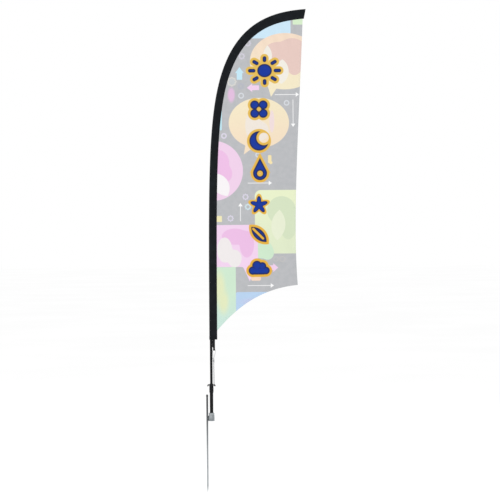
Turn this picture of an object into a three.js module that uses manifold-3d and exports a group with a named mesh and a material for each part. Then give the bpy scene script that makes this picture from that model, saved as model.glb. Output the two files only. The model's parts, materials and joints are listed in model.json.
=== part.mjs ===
// A curved sail flag on a steel ground spike: a printed panel, a black pole sleeve, a three-piece pole
// and a ball-bearing spindle that lets the flag turn with the wind.
// Millimetres. +Z is up and +X is the way the flag flies. The origin is on the spike's axis at ground level.
import * as THREE from "three";
import { mergeVertices } from "three/addons/utils/BufferGeometryUtils.js";
import Module from "manifold-3d";

// ---- Driving dimensions ----

const gap = 0.3; // clearance between neighbouring pieces

// Ground spike
const spikeRadius = 6;
const spikeDepth = 465; // below ground level
const spikePointLength = 50;
const spikePointRadius = 0.8;
const spikeNeckRadius = 5;
const spikeNeckHeight = 149; // where the rod steps down to the stud under its cap
const capRadius = 6.5;
const capBottom = 152;
const capTop = 170;
const capCrown = 3; // thickness above the stud

// Bearing housing, beside the spike
const poleX = 28; // pole axis, from the spike's axis
const housingRadius = 19;
const housingHeight = 36.5;
const housingChamfer = 1.5;
const shoulderHeight = 5; // rib between the two bearings
const shoulderBottom = 20.3;
const shoulderReach = 2.8; // how far the rib stands into the bore
const plugThickness = 2.7;
const plugStep = 2; // how much wider the plug is than the bearings
const ringGrooveDepth = 0.8;
const ringThickness = 1.2;
const webWidth = 10;
const webMargin = 2; // between the web and the housing's two ends

// Ball bearings
const bearingBoreRadius = 6.3;
const bearingOuterRadius = 14;
const bearingWidth = 8;
const ballRadius = 2.38;
const ballPitchRadius = 10;
const ballCount = 7;
const landOffset = 1.3; // from the balls' pitch circle to the edge of each race
const cageHalfThickness = 0.9;
const cageHalfWidth = 3.4;

// Spindle
const shaftTop = 149.5;
const shaftThreadRadius = 4.7;
const nutHeight = 5;
const nutAcrossFlats = 17;
const washerThickness = 1.5;
const washerRadius = 9;
const flangeRadius = 18;
const flangeBottom = 37;
const flangeTop = 52.5;
const flangeChamfer = 2;
const flangeHubRadius = 8.2;
const oRingThickness = 1.1;
const oRingHeights = [72, 128];

// Lower tube, with its collar and the double hook
const tubeWall = 1.2;
const footHeight = 4;
const footLip = 0.8;
const tubeTop = 236;
const collarBottom = 182;
const collarTop = 213.7;
const collarWall = 2.2;
const hookBottom = 214;
const hookWall = 1.9;
const hornHeight = 231.6;
const hornRadius = 3.9;
const hornReach = 22.4; // from the pole axis to the middle of each downturned tip
const hornDrop = 6;
const grubRadius = 2;
const bushWall = 1.2; // between the middle pole and the lower tube
const bushFlange = 3;
const bushFloor = 2;
const bushDepth = 85.4; // below the tube's top

// Three-piece pole
const midPoleRadius = 8;
const midPoleWall = 1.5;
const midPoleTop = 1080;
const upperPoleWall = 1.6;
const upperPoleTop = 2020;
const jointInsert = 80; // length of each pole piece inside the one below
const tipRodEndRadius = 2.75;
const ferruleLength = 30;
const ferruleWall = 0.8;
const tipCapWall = 1.5;
const tipCapLength = 18;
const plugLength = 14; // spigot of the pole's bottom plug

// The sail's leading edge. Its heading from the vertical is a smooth step along the arc length s,
// which equals the height above ground while the edge is still straight.
const fullHeading = THREE.MathUtils.degToRad(93.6);
const bendMiddle = 2704;
const bendSpread = 145;

// Sleeve
const sleeveBottom = 522;
const sleeveTop = 2961;
const sleeveWall = 0.9;
const sleeveWidth = 50.5;
const sleeveTipWidth = 61;
const wideningStart = 2150;
const wideningEnd = 2850;
const sleeveEase = 0.5; // spare room in the sleeve over the lower ferrule
const sleeveTipEase = 0.35; // and over the tip pocket
const tailHalfThickness = 0.8;
const tailSeam = 5; // flat seam between the sleeve's pocket and its tail
const tipSeam = 6;
const tipSlant = 16; // how much shorter the sleeve's end is on the panel side
const slantLength = 150;
const pocketWall = 1.2;
const pocketLength = 60;

// Panel
const panelThickness = 0.8;
const panelBottom = 580; // arc length where the panel starts on the sleeve
const panelTopInset = 6;
const flyCornerReach = 518; // from the sleeve's tail to the bottom corner
const flyCornerHeight = 868;
const flyBow = [{ share: 0.255, bow: 45 }, { share: 0.67, bow: 8 }]; // from the bottom corner up
const hemBow = [{ share: 0.29, bow: 64 }, { share: 0.62, bow: 100 }]; // from the sleeve outwards

// Webbing tab, elastic loop and knot
const tabWidth = 12.6;
const tabLeft = 40.6;
const tabThickness = 3;
const tabPly = 1.5;
const tabEyeLow = 454.5;
const tabEyeHigh = 459.5;
const tabSewnLength = 34;
const elasticRadius = 1.5;
const knotX = 43.5;
const knotZ = 388;
const knotHeight = 20;
const knotHalfWidth = 5.4;
const knotHalfThickness = 4.6;
const strandOffset = 1.85; // of each strand from the knot's middle

// The elastic's route: from inside the knot up through the tab's eye, down through the knot, round the
// hook's right horn, and back up into the knot.
const elasticRoute = [
  [41.65, 0, 389], [41.6, 0, 398], [40.2, 0, 418], [38.5, 0, 438], [38.1, 0, 451],
  [40.7, 0, 457.2], [46.9, 0, 459.6], [53.1, 0, 457.2], [55.7, 0, 451], [53.7, 0, 438],
  [49.2, 0, 417], [45.6, 0, 400], [45.35, 0, 388], [45.5, 0.1, 376], [46.0, 1.2, 345],
  [46.6, 3.3, 295], [46.9, 5.6, 250], [46.4, 6.3, 235], [45.3, 5.2, 228.4], [44.2, 0, 225.7],
  [43.2, -5.2, 228.4], [43.0, -6.3, 235], [42.6, -5.6, 250], [42.2, -3.3, 295],
  [41.8, -1.2, 345], [41.65, -0.1, 376], [41.65, 0, 386.5],
];
const elasticSteps = 64;

const roundSegments = 24;
const poleSegments = 16;

// ---- Sizes that follow ----

const bearingSeatRadius = bearingOuterRadius + gap;
const bearingCentre = (shoulderSide) => shoulderSide * (shoulderHeight / 2 + gap + bearingWidth / 2);
const shoulderMiddle = shoulderBottom + shoulderHeight / 2;
const shaftRadius = bearingBoreRadius - gap;
const adapterRadius = midPoleRadius + gap + bushWall;
const tubeInnerRadius = adapterRadius + gap;
const tubeRadius = tubeInnerRadius + tubeWall;
const adapterBottom = flangeTop + gap;
const tubeBottom = adapterBottom + footHeight + gap;
const bushBottom = tubeTop - bushDepth;
const poleBottom = bushBottom + bushFloor + gap;
const upperPoleRadius = midPoleRadius - midPoleWall - gap;
const tipRodRadius = upperPoleRadius - upperPoleWall - gap;
const ferruleRadius = midPoleRadius + gap + ferruleWall;
const tipCapInner = tipRodEndRadius + 2 * gap;
const tipPocketInner = tipCapInner + tipCapWall + gap;
const noseRadius = ferruleRadius + gap + sleeveWall + sleeveEase; // of the sleeve's rounded front edge
const noseTipRadius = tipPocketInner + pocketWall + gap + sleeveWall + sleeveTipEase;
const leadX = poleX - noseRadius;

// ---- Finishes ----

function finish(color, roughness, metalness) {
  return new THREE.MeshStandardMaterial({ color, roughness, metalness });
}

const galvanised = finish("#a9adb1", 0.45, 0.85);
const turnedAluminium = finish("#b9bec2", 0.35, 0.9);
const bearingSteel = finish("#c9ccd0", 0.2, 1);
const blackAluminium = finish("#16171a", 0.4, 0.5);
const blackFibreglass = finish("#141414", 0.5, 0);
const blackPlastic = finish("#1b1c1e", 0.55, 0);
const darkRubber = finish("#4a4c4e", 0.8, 0);
const blackCloth = finish("#1a1c20", 0.9, 0);
const greyCloth = finish("#b9babd", 0.85, 0);
const whiteElastic = finish("#e9e9e7", 0.8, 0);

// ---- Solids: joins and cuts ----

const wasm = await Module();
wasm.setup();

function toSolid(geometry) {
  const bare = geometry.clone();
  bare.deleteAttribute("normal");
  bare.deleteAttribute("uv");
  const merged = mergeVertices(bare, 1e-4);
  return new wasm.Manifold(new wasm.Mesh({
    numProp: 3,
    vertProperties: merged.attributes.position.array,
    triVerts: new Uint32Array(merged.index.array),
  }));
}

function toGeometry(solid) {
  const mesh = solid.getMesh();
  const geometry = new THREE.BufferGeometry();
  geometry.setAttribute("position", new THREE.BufferAttribute(mesh.vertProperties, 3));
  geometry.setIndex(new THREE.BufferAttribute(mesh.triVerts, 1));
  geometry.computeVertexNormals();
  return geometry;
}

function cut(body, ...tools) {
  return toGeometry(tools.reduce((solid, tool) => solid.subtract(toSolid(tool)), toSolid(body)));
}

function join(...bodies) {
  return toGeometry(bodies.map(toSolid).reduce((solid, body) => solid.add(body)));
}

// ---- Basic shapes ----

// Turned piece about Z. The profile is a list of [radius, height] going round the section
// anticlockwise: up its outside and down its inside.
function turned(profile, segments = roundSegments) {
  const points = profile.map(([radius, height]) => new THREE.Vector2(radius, height));
  return new THREE.LatheGeometry(points, segments).rotateX(Math.PI / 2);
}

function ring(inner, outer, bottom, top, segments = roundSegments) {
  return turned([[inner, bottom], [outer, bottom], [outer, top], [inner, top], [inner, bottom]], segments);
}

function rod(radius, bottom, top, segments = roundSegments) {
  return turned([[0, bottom], [radius, bottom], [radius, top], [0, top]], segments);
}

// ---- The bent pole ----

function heading(s) {
  return fullHeading / Math.sqrt(1 + Math.exp((bendMiddle - s) / bendSpread));
}

// Leading-edge points at even steps of arc length, from the ground up
const edgeStep = 4;
const edgePoints = [new THREE.Vector2(leadX, 0)];
for (let s = 0; s < sleeveTop + edgeStep; s += edgeStep) {
  const last = edgePoints[edgePoints.length - 1];
  const middle = heading(s + edgeStep / 2);
  edgePoints.push(new THREE.Vector2(
    last.x + edgeStep * Math.sin(middle),
    last.y + edgeStep * Math.cos(middle),
  ));
}

// Point at arc length s, with u measured inwards from the leading edge and v across the sail
function sailPoint(s, u, v) {
  const index = THREE.MathUtils.clamp(Math.floor(s / edgeStep), 0, edgePoints.length - 2);
  const share = s / edgeStep - index;
  const edge = edgePoints[index].clone().lerp(edgePoints[index + 1], share);
  const angle = heading(s);
  return new THREE.Vector3(edge.x + u * Math.cos(angle), v, edge.y - u * Math.sin(angle));
}

// Arc lengths at which bent pieces have a section: close together where the bend is tight
const chordError = 0.18;
const longestStep = 300;
const sections = [0];
while (sections[sections.length - 1] < sleeveTop) {
  const s = sections[sections.length - 1];
  const curvature = (heading(s + 10) - heading(s)) / 10;
  sections.push(s + Math.min(longestStep, Math.sqrt(8 * chordError / curvature)));
}

function sectionsBetween(low, high) {
  const margin = 2;
  return [low, ...sections.filter((s) => s > low + margin && s < high - margin), high];
}

function ramp(s, low, high) {
  return THREE.MathUtils.clamp((s - low) / (high - low), 0, 1);
}

function noseAt(s) {
  return THREE.MathUtils.lerp(noseRadius, noseTipRadius, ramp(s, midPoleTop, sleeveTop));
}

function widthAt(s) {
  return THREE.MathUtils.lerp(sleeveWidth, sleeveTipWidth, ramp(s, wideningStart, wideningEnd));
}

// Bends a piece that was made straight, its Z being arc length, onto the pole's axis
function bend(geometry) {
  const position = geometry.attributes.position;
  for (let i = 0; i < position.count; i++) {
    const s = position.getZ(i);
    const point = sailPoint(s, noseAt(s) + position.getX(i), position.getY(i));
    position.setXYZ(i, point.x, point.y, point.z);
  }
  geometry.computeVertexNormals();
  return geometry;
}

// Straight tube or rod with a section wherever the bend needs one. Each radius may change along s.
function poleTube(innerAt, outerAt, low, high) {
  const levels = sectionsBetween(low, high);
  const outside = levels.map((s) => [outerAt(s), s]);
  const inside = levels.toReversed().map((s) => [innerAt(s), s]);
  return turned([...outside, ...inside, outside[0]], poleSegments);
}

// Closed body through rings of equal point counts, each ring anticlockwise seen from above
function loft(rings) {
  const size = rings[0].length;
  const positions = rings.flat().flatMap((point) => [point.x, point.y, point.z]);
  const faces = [];
  for (let i = 0; i + 1 < rings.length; i++) {
    for (let j = 0; j < size; j++) {
      const a = i * size + j;
      const b = i * size + (j + 1) % size;
      faces.push(a, b, b + size, a, b + size, a + size);
    }
  }
  const last = (rings.length - 1) * size;
  for (let j = 1; j + 1 < size; j++) {
    faces.push(0, j + 1, j, last, last + j, last + j + 1);
  }
  const geometry = new THREE.BufferGeometry();
  geometry.setAttribute("position", new THREE.Float32BufferAttribute(positions, 3));
  geometry.setIndex(faces);
  geometry.computeVertexNormals();
  return geometry;
}

// ---- Scene graph ----

const flag = new THREE.Group();
const poleAxis = new THREE.Group(); // everything turned about the pole's axis
poleAxis.position.x = poleX;
flag.add(poleAxis);

function piece(name, geometry, material, parent = flag) {
  const mesh = new THREE.Mesh(geometry, material);
  mesh.name = name;
  parent.add(mesh);
  return mesh;
}

// ---- Ground anchor ----

function spikeRod() {
  return turned([
    [0, -spikeDepth],
    [spikePointRadius, -spikeDepth],
    [spikeRadius, spikePointLength - spikeDepth],
    [spikeRadius, spikeNeckHeight],
    [spikeNeckRadius, spikeNeckHeight + 1],
    [spikeNeckRadius, capTop - capCrown - gap],
    [0, capTop - capCrown - gap],
  ]);
}

function spikeCap() {
  const stud = spikeNeckRadius + gap;
  return turned([
    [stud, capBottom],
    [capRadius, capBottom],
    [capRadius, capTop - 4],
    [capRadius * 0.9, capTop - 1.6],
    [capRadius * 0.62, capTop],
    [0, capTop],
    [0, capTop - capCrown],
    [stud, capTop - capCrown],
    [stud, capBottom],
  ]);
}

// Block that joins the spike to the housing, hollowed to fit both
function spikeWeb() {
  const height = housingHeight - 2 * webMargin;
  const left = spikeRadius / 2;
  const right = poleX - housingRadius / 2;
  const block = new THREE.BoxGeometry(right - left, webWidth, height);
  block.translate((left + right) / 2, 0, housingHeight / 2);
  const overshoot = 5;
  const spikeSeat = rod(spikeRadius + gap, -overshoot, housingHeight + overshoot);
  const housingSeat = rod(housingRadius + gap, -overshoot, housingHeight + overshoot);
  return cut(block, spikeSeat, housingSeat.translate(poleX, 0, 0));
}

function bearingHousing() {
  const plugSeat = bearingSeatRadius + plugStep;
  const shoulderTop = shoulderBottom + shoulderHeight;
  const ribRadius = bearingSeatRadius - shoulderReach;
  const ringLow = shoulderTop + gap + bearingWidth;
  const ringHigh = ringLow + ringThickness + 2 * gap;
  return turned([
    [plugSeat, 0],
    [housingRadius - housingChamfer, 0],
    [housingRadius, housingChamfer],
    [housingRadius, housingHeight - housingChamfer],
    [housingRadius - housingChamfer, housingHeight],
    [bearingSeatRadius, housingHeight],
    [bearingSeatRadius, ringHigh],
    [bearingSeatRadius + ringGrooveDepth, ringHigh],
    [bearingSeatRadius + ringGrooveDepth, ringLow],
    [bearingSeatRadius, ringLow],
    [bearingSeatRadius, shoulderTop],
    [ribRadius, shoulderTop],
    [ribRadius, shoulderBottom],
    [bearingSeatRadius, shoulderBottom],
    [bearingSeatRadius, plugThickness + gap],
    [plugSeat, plugThickness + gap],
    [plugSeat, 0],
  ], 28);
}

// Bottom plug, whose rim holds the lower bearing against the housing's rib
function housingPlug() {
  const rimOuter = bearingOuterRadius;
  const rimInner = rimOuter - 1.5;
  const rimTop = shoulderBottom - gap - bearingWidth - gap;
  return turned([
    [0, 0],
    [bearingSeatRadius + plugStep - gap, 0],
    [bearingSeatRadius + plugStep - gap, plugThickness],
    [rimOuter, plugThickness],
    [rimOuter, rimTop],
    [rimInner, rimTop],
    [rimInner, plugThickness],
    [0, plugThickness],
  ]);
}

function retainingRing() {
  const low = shoulderBottom + shoulderHeight + bearingWidth + 2 * gap;
  const outer = bearingSeatRadius + ringGrooveDepth - gap;
  return ring(outer - 3, outer, low, low + ringThickness);
}

piece("spike_rod", spikeRod(), galvanised);
piece("spike_cap", spikeCap(), darkRubber);
piece("spike_web", spikeWeb(), galvanised);
piece("bearing_housing", bearingHousing(), turnedAluminium, poleAxis);
piece("housing_plug", housingPlug(), turnedAluminium, poleAxis);
piece("retaining_ring", retainingRing(), bearingSteel, poleAxis);

// ---- Ball bearings ----

// Race section with a ball groove. side is 1 for the outer race and -1 for the inner one.
function race(side, wallRadius) {
  const half = bearingWidth / 2;
  const land = ballPitchRadius + side * landOffset;
  const grooveRadius = ballRadius + gap;
  const reach = Math.acos(landOffset / grooveRadius);
  const groove = [-1, -0.5, 0, 0.5, 1].map((share) => [
    ballPitchRadius + side * grooveRadius * Math.cos(share * reach),
    grooveRadius * Math.sin(share * reach),
  ]);
  const profile = [[land, -half], ...groove, [land, half], [wallRadius, half], [wallRadius, -half]];
  profile.push(profile[0]);
  return turned(side > 0 ? profile.reverse() : profile, 20);
}

function ballPlaces() {
  return Array.from({ length: ballCount }, (_, i) => {
    const angle = (2 * Math.PI * i) / ballCount;
    return new THREE.Vector3(ballPitchRadius * Math.cos(angle), ballPitchRadius * Math.sin(angle), 0);
  });
}

function cage() {
  const blank = ring(
    ballPitchRadius - cageHalfThickness,
    ballPitchRadius + cageHalfThickness,
    -cageHalfWidth,
    cageHalfWidth,
    ballCount * 3,
  );
  const pockets = ballPlaces().map((place) => (
    new THREE.SphereGeometry(ballRadius + gap, 8, 6).translate(...place)
  ));
  return cut(blank, ...pockets);
}

for (const [name, side] of [["lower", -1], ["upper", 1]]) {
  const bearing = new THREE.Group();
  bearing.position.z = shoulderMiddle + bearingCentre(side);
  poleAxis.add(bearing);
  piece(`${name}_outer_race`, race(1, bearingOuterRadius), bearingSteel, bearing);
  piece(`${name}_inner_race`, race(-1, bearingBoreRadius), bearingSteel, bearing);
  piece(`${name}_cage`, cage(), blackPlastic, bearing);
  ballPlaces().forEach((place, i) => {
    const ball = piece(
      `${name}_ball_${i + 1}`,
      new THREE.SphereGeometry(ballRadius, 8, 6),
      bearingSteel,
      bearing,
    );
    ball.position.copy(place);
  });
}

// ---- Spindle ----

const lowerRaceBottom = shoulderBottom - gap - bearingWidth;
const washerTop = lowerRaceBottom - gap;
const nutTop = washerTop - washerThickness - gap;
const upperRaceTop = shoulderBottom + shoulderHeight + gap + bearingWidth;

function spindleShaft() {
  return turned([
    [0, nutTop - nutHeight - gap],
    [shaftThreadRadius, nutTop - nutHeight - gap],
    [shaftThreadRadius, nutTop + gap],
    [shaftRadius, nutTop + gap],
    [shaftRadius, shaftTop - 1.5],
    [shaftRadius - 1.5, shaftTop],
    [0, shaftTop],
  ]);
}

function spindleNut() {
  const corner = nutAcrossFlats / 2 / Math.cos(Math.PI / 6);
  const blank = rod(corner, nutTop - nutHeight, nutTop, 6);
  return cut(blank, rod(shaftThreadRadius + gap, 0, shaftTop, 24));
}

// Flange that turns with the pole and covers the upper bearing
function spindleFlange() {
  return turned([
    [bearingBoreRadius, upperRaceTop + gap],
    [flangeHubRadius, upperRaceTop + gap],
    [flangeHubRadius, flangeBottom],
    [flangeRadius, flangeBottom],
    [flangeRadius, flangeTop - flangeChamfer],
    [flangeRadius - flangeChamfer, flangeTop],
    [bearingBoreRadius, flangeTop],
    [bearingBoreRadius, upperRaceTop + gap],
  ], 28);
}

// Plastic sleeve that fills the lower tube, grooved for the two O-rings
function poleAdapter() {
  const top = shaftTop - gap;
  const grooveRadius = adapterRadius - oRingThickness - 2 * gap;
  const grooveHalf = oRingThickness / 2 + gap;
  const grooves = oRingHeights.flatMap((height) => [
    [adapterRadius, height - grooveHalf],
    [grooveRadius, height - grooveHalf],
    [grooveRadius, height + grooveHalf],
    [adapterRadius, height + grooveHalf],
  ]);
  return turned([
    [bearingBoreRadius, adapterBottom],
    [adapterRadius, adapterBottom],
    ...grooves,
    [adapterRadius, top - 1.5],
    [adapterRadius - 1, top],
    [bearingBoreRadius, top],
    [bearingBoreRadius, adapterBottom],
  ]);
}

piece("spindle_shaft", spindleShaft(), bearingSteel, poleAxis);
piece("spindle_washer", ring(bearingBoreRadius, washerRadius, washerTop - washerThickness, washerTop),
  bearingSteel, poleAxis);
piece("spindle_nut", spindleNut(), bearingSteel, poleAxis);
piece("spindle_flange", spindleFlange(), turnedAluminium, poleAxis);
piece("pole_adapter", poleAdapter(), blackPlastic, poleAxis);
["lower", "upper"].forEach((name, i) => {
  const middle = adapterRadius - gap - oRingThickness / 2;
  const seal = new THREE.TorusGeometry(middle, oRingThickness / 2, 6, 20);
  piece(`${name}_o_ring`, seal, darkRubber, poleAxis).position.z = oRingHeights[i];
});

// ---- Lower tube and hook ----

// Reducing bush between the lower tube and the middle pole
function poleBush() {
  const inner = midPoleRadius + gap;
  return turned([
    [0, bushBottom],
    [adapterRadius, bushBottom],
    [adapterRadius, tubeTop + gap],
    [tubeRadius, tubeTop + gap],
    [tubeRadius, tubeTop + gap + bushFlange],
    [inner, tubeTop + gap + bushFlange],
    [inner, bushBottom + bushFloor],
    [0, bushBottom + bushFloor],
  ]);
}

// One horn of the double hook, out along side and turned down at its tip
function horn(side) {
  const root = tubeRadius + gap + hookWall / 2;
  const route = new THREE.CatmullRomCurve3([
    new THREE.Vector3(side * root, 0, hornHeight),
    new THREE.Vector3(side * (root + hornReach) / 2, 0, hornHeight + 0.6),
    new THREE.Vector3(side * (hornReach - 2), 0, hornHeight - 0.4),
    new THREE.Vector3(side * hornReach, 0, hornHeight - hornDrop / 2),
    new THREE.Vector3(side * hornReach, 0, hornHeight - hornDrop),
  ]);
  const section = new THREE.Shape().absarc(0, 0, hornRadius, 0, 2 * Math.PI);
  const stem = new THREE.ExtrudeGeometry(section, { extrudePath: route, steps: 8, curveSegments: 6 });
  const tip = new THREE.SphereGeometry(hornRadius, 12, 6);
  return join(stem, tip.translate(side * hornReach, 0, hornHeight - hornDrop));
}

function hookCollar() {
  const band = ring(tubeRadius + gap, tubeRadius + gap + hookWall, hookBottom, tubeTop);
  const screwHole = new THREE.CylinderGeometry(grubRadius + gap, grubRadius + gap, tubeRadius, 16);
  screwHole.translate(0, tubeRadius + hookWall, (hookBottom + hornHeight) / 2);
  const bore = rod(tubeRadius + gap, hookBottom - 1, tubeTop + 20);
  return cut(join(band, horn(1), horn(-1)), screwHole, bore);
}

function grubScrew() {
  const length = hookWall;
  const screw = new THREE.CylinderGeometry(grubRadius, grubRadius, length, 16);
  const socket = new THREE.CylinderGeometry(1.1, 1.1, length, 6).translate(0, length / 2, 0);
  const y = tubeRadius + gap + length / 2;
  return cut(screw, socket).translate(0, y, (hookBottom + hornHeight) / 2);
}

piece("tube_foot", ring(tubeInnerRadius, tubeRadius + footLip, adapterBottom, adapterBottom + footHeight),
  blackPlastic, poleAxis);
piece("lower_tube", ring(tubeInnerRadius, tubeRadius, tubeBottom, tubeTop), blackAluminium, poleAxis);
piece("tube_collar", ring(tubeRadius + gap, tubeRadius + gap + collarWall, collarBottom, collarTop),
  blackPlastic, poleAxis);
piece("pole_bush", poleBush(), blackPlastic, poleAxis);
piece("hook_collar", hookCollar(), blackPlastic, poleAxis);
piece("hook_grub_screw", grubScrew(), bearingSteel, poleAxis);

// ---- Three-piece pole ----

const midPoleInner = midPoleRadius - midPoleWall;
const upperPoleInner = upperPoleRadius - upperPoleWall;

function polePlug() {
  const top = poleBottom + 2;
  return turned([
    [0, poleBottom],
    [midPoleRadius, poleBottom],
    [midPoleRadius, top],
    [midPoleInner - gap, top],
    [midPoleInner - gap, top + plugLength],
    [0, top + plugLength],
  ], poleSegments);
}

// Where the pole's tip stands in the sleeve's slanted end
const tipShift = (tipSlant * 2 * noseTipRadius) / sleeveTipWidth;
const pocketEnd = sleeveTop - tipSeam - tipShift - gap;
const pocketFloor = pocketEnd - pocketWall;
const tipCapEnd = pocketFloor - gap;
const tipRodEnd = tipCapEnd - tipCapWall - gap;

function tipRodRadiusAt(s) {
  return THREE.MathUtils.lerp(tipRodRadius, tipRodEndRadius, ramp(s, upperPoleTop, tipRodEnd));
}

function tipRod() {
  const levels = sectionsBetween(upperPoleTop - jointInsert, tipRodEnd);
  const outside = levels.map((s) => [tipRodRadiusAt(s), s]);
  return turned([[0, levels[0]], ...outside, [0, tipRodEnd]], poleSegments);
}

// Closed cup over the pole's tip, from s = end - length to its closed end
function tipCup(inner, wall, end, length) {
  const outer = inner + wall;
  const low = end - length;
  const outside = sectionsBetween(low, end - wall).map((s) => [outer, s]);
  const inside = sectionsBetween(low, end - wall).toReversed().map((s) => [inner, s]);
  return turned([
    ...outside,
    [outer - wall / 2, end],
    [0, end],
    [0, end - wall],
    ...inside,
    outside[0],
  ], poleSegments);
}

function poleFerrule(radius, top) {
  return ring(radius + gap, radius + gap + ferruleWall, top - ferruleLength, top, poleSegments);
}

piece("pole_plug", polePlug(), blackPlastic, poleAxis);
piece("mid_pole", bend(poleTube(() => midPoleInner, () => midPoleRadius, poleBottom + 2 + gap, midPoleTop)),
  blackAluminium);
piece("mid_ferrule", bend(poleFerrule(midPoleRadius, midPoleTop)), bearingSteel);
piece("upper_pole", bend(poleTube(() => upperPoleInner, () => upperPoleRadius, midPoleTop - jointInsert,
  upperPoleTop)), blackFibreglass);
piece("upper_ferrule", bend(poleFerrule(upperPoleRadius, upperPoleTop)), bearingSteel);
piece("tip_rod", bend(tipRod()), blackFibreglass);
piece("tip_cap", bend(tipCup(tipCapInner, tipCapWall, tipCapEnd, tipCapLength)), blackPlastic);

// ---- Sleeve and panel ----

// Teardrop section of the sleeve: a round nose about the pole and straight sides to the tail
function teardrop(centre, radius, tail, tailHalf) {
  const leave = Math.acos((radius - tailHalf) / (tail - centre));
  const steps = 10;
  const points = [];
  for (let i = 0; i <= steps; i++) {
    const angle = leave + ((2 * Math.PI - 2 * leave) * i) / steps;
    points.push([centre + radius * Math.cos(angle), radius * Math.sin(angle)]);
  }
  return [...points, [tail, -tailHalf], [tail, tailHalf]];
}

function slantAt(s) {
  return tipSlant * THREE.MathUtils.smoothstep(s, sleeveTop - slantLength, sleeveTop);
}

function sleeveRing(s, outline) {
  return outline.map(([u, v]) => sailPoint(s - (slantAt(s) * u) / widthAt(s), u, v));
}

function sleeve() {
  const outer = sectionsBetween(sleeveBottom, sleeveTop).map((s) => (
    sleeveRing(s, teardrop(noseAt(s), noseAt(s), widthAt(s), tailHalfThickness))
  ));
  const inner = sectionsBetween(sleeveBottom - 5, sleeveTop - tipSeam).map((s) => (
    sleeveRing(s, teardrop(noseAt(s), noseAt(s) - sleeveWall, widthAt(s) - tailSeam, 0.2))
  ));
  return cut(loft(outer), loft(inner));
}

// Cubic edge between two corners. Each control lies at a share of the chord, bowed to its left.
function bowedEdge(from, to, controls) {
  const chord = to.clone().sub(from);
  const left = new THREE.Vector2(-chord.y, chord.x).normalize();
  const [first, second] = controls.map(({ share, bow }) => (
    from.clone().addScaledVector(chord, share).addScaledVector(left, bow)
  ));
  return new THREE.CubicBezierCurve(from, first, second, to);
}

function flagPanel() {
  const tailLine = sectionsBetween(panelBottom, sleeveTop - panelTopInset).map((s) => {
    const point = sailPoint(s - slantAt(s), widthAt(s) + gap, 0);
    return new THREE.Vector2(point.x, point.z);
  });
  const start = tailLine[0];
  const top = tailLine[tailLine.length - 1];
  const corner = new THREE.Vector2(start.x + flyCornerReach, flyCornerHeight);
  const fly = bowedEdge(corner, top, flyBow);
  const hem = bowedEdge(start, corner, hemBow);
  const outline = new THREE.Shape([
    ...hem.getPoints(20),
    ...fly.getPoints(20).slice(1),
    ...tailLine.toReversed().slice(1, -1),
  ]);
  const sheet = new THREE.ExtrudeGeometry(outline, { depth: panelThickness, bevelEnabled: false });
  return sheet.translate(0, 0, -panelThickness / 2).rotateX(Math.PI / 2);
}

piece("pole_sleeve", sleeve(), blackCloth);
piece("tip_pocket", bend(tipCup(tipPocketInner, pocketWall, pocketEnd, pocketLength)),
  blackCloth);
piece("flag_panel", flagPanel(), greyCloth);

// ---- Webbing tab, elastic and knot ----

// Folded webbing: a flat strap with an open eye at its foot and its sewn end inside the sleeve
function webbingTab() {
  const eye = tabPly + elasticRadius + 0.4;
  const outline = new THREE.Shape();
  outline.absarc(0, tabEyeLow, eye, Math.PI, 2 * Math.PI);
  outline.lineTo(eye, tabEyeHigh);
  outline.lineTo(tabThickness / 2, tabEyeHigh + 6);
  outline.lineTo(tabThickness / 2, sleeveBottom + 4);
  const sewn = sewnHalfThickness();
  outline.lineTo(sewn, sleeveBottom + 4);
  outline.lineTo(sewn, sleeveBottom + tabSewnLength);
  outline.lineTo(-sewn, sleeveBottom + tabSewnLength);
  outline.lineTo(-sewn, sleeveBottom + 4);
  outline.lineTo(-tabThickness / 2, sleeveBottom + 4);
  outline.lineTo(-tabThickness / 2, tabEyeHigh + 6);
  outline.lineTo(-eye, tabEyeHigh);
  const slot = new THREE.Path();
  slot.absarc(0, tabEyeLow, elasticRadius + 0.4, Math.PI, 2 * Math.PI);
  slot.absarc(0, tabEyeHigh, elasticRadius + 0.4, 0, Math.PI);
  outline.holes.push(slot);
  const strap = new THREE.ExtrudeGeometry(outline, { depth: tabWidth, bevelEnabled: false, curveSegments: 8 });
  strap.rotateY(Math.PI / 2).rotateX(Math.PI / 2);
  return strap.translate(tabLeft, 0, 0);
}

// Half the room inside the sleeve at the tab's outer edge
function sewnHalfThickness() {
  const radius = noseRadius - sleeveWall;
  const tail = sleeveWidth - tailSeam;
  const leave = Math.acos(radius / (tail - noseRadius));
  const u = tabLeft + tabWidth - leadX;
  return (tail - u) / Math.tan(leave) - gap;
}

function elasticLoop() {
  const route = new THREE.CatmullRomCurve3(elasticRoute.map((point) => new THREE.Vector3(...point)));
  const section = new THREE.Shape().absarc(0, 0, elasticRadius, 0, 2 * Math.PI);
  return new THREE.ExtrudeGeometry(section, {
    extrudePath: route,
    steps: elasticSteps,
    curveSegments: 4,
  });
}

// Oval knot body with one passage for each strand
function knot() {
  const half = knotHeight / 2;
  const body = turned([
    [0, -half],
    [0.75, -half],
    [1, -half * 0.7],
    [1, half * 0.7],
    [0.75, half],
    [0, half],
  ], 16).scale(knotHalfWidth, knotHalfThickness, 1);
  const passages = [-1, 1].map((side) => (
    rod(elasticRadius + 1.5 * gap, -knotHeight, knotHeight, 10).translate(side * strandOffset, 0, 0)
  ));
  return cut(body, ...passages).translate(knotX, 0, knotZ);
}

piece("webbing_tab", webbingTab(), blackCloth);
piece("elastic_loop", elasticLoop(), whiteElastic);
piece("elastic_knot", knot(), whiteElastic);

export default flag;
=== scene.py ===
import json
import math
from functools import reduce

import bpy
import numpy as np
from mathutils import Matrix, Vector


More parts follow.
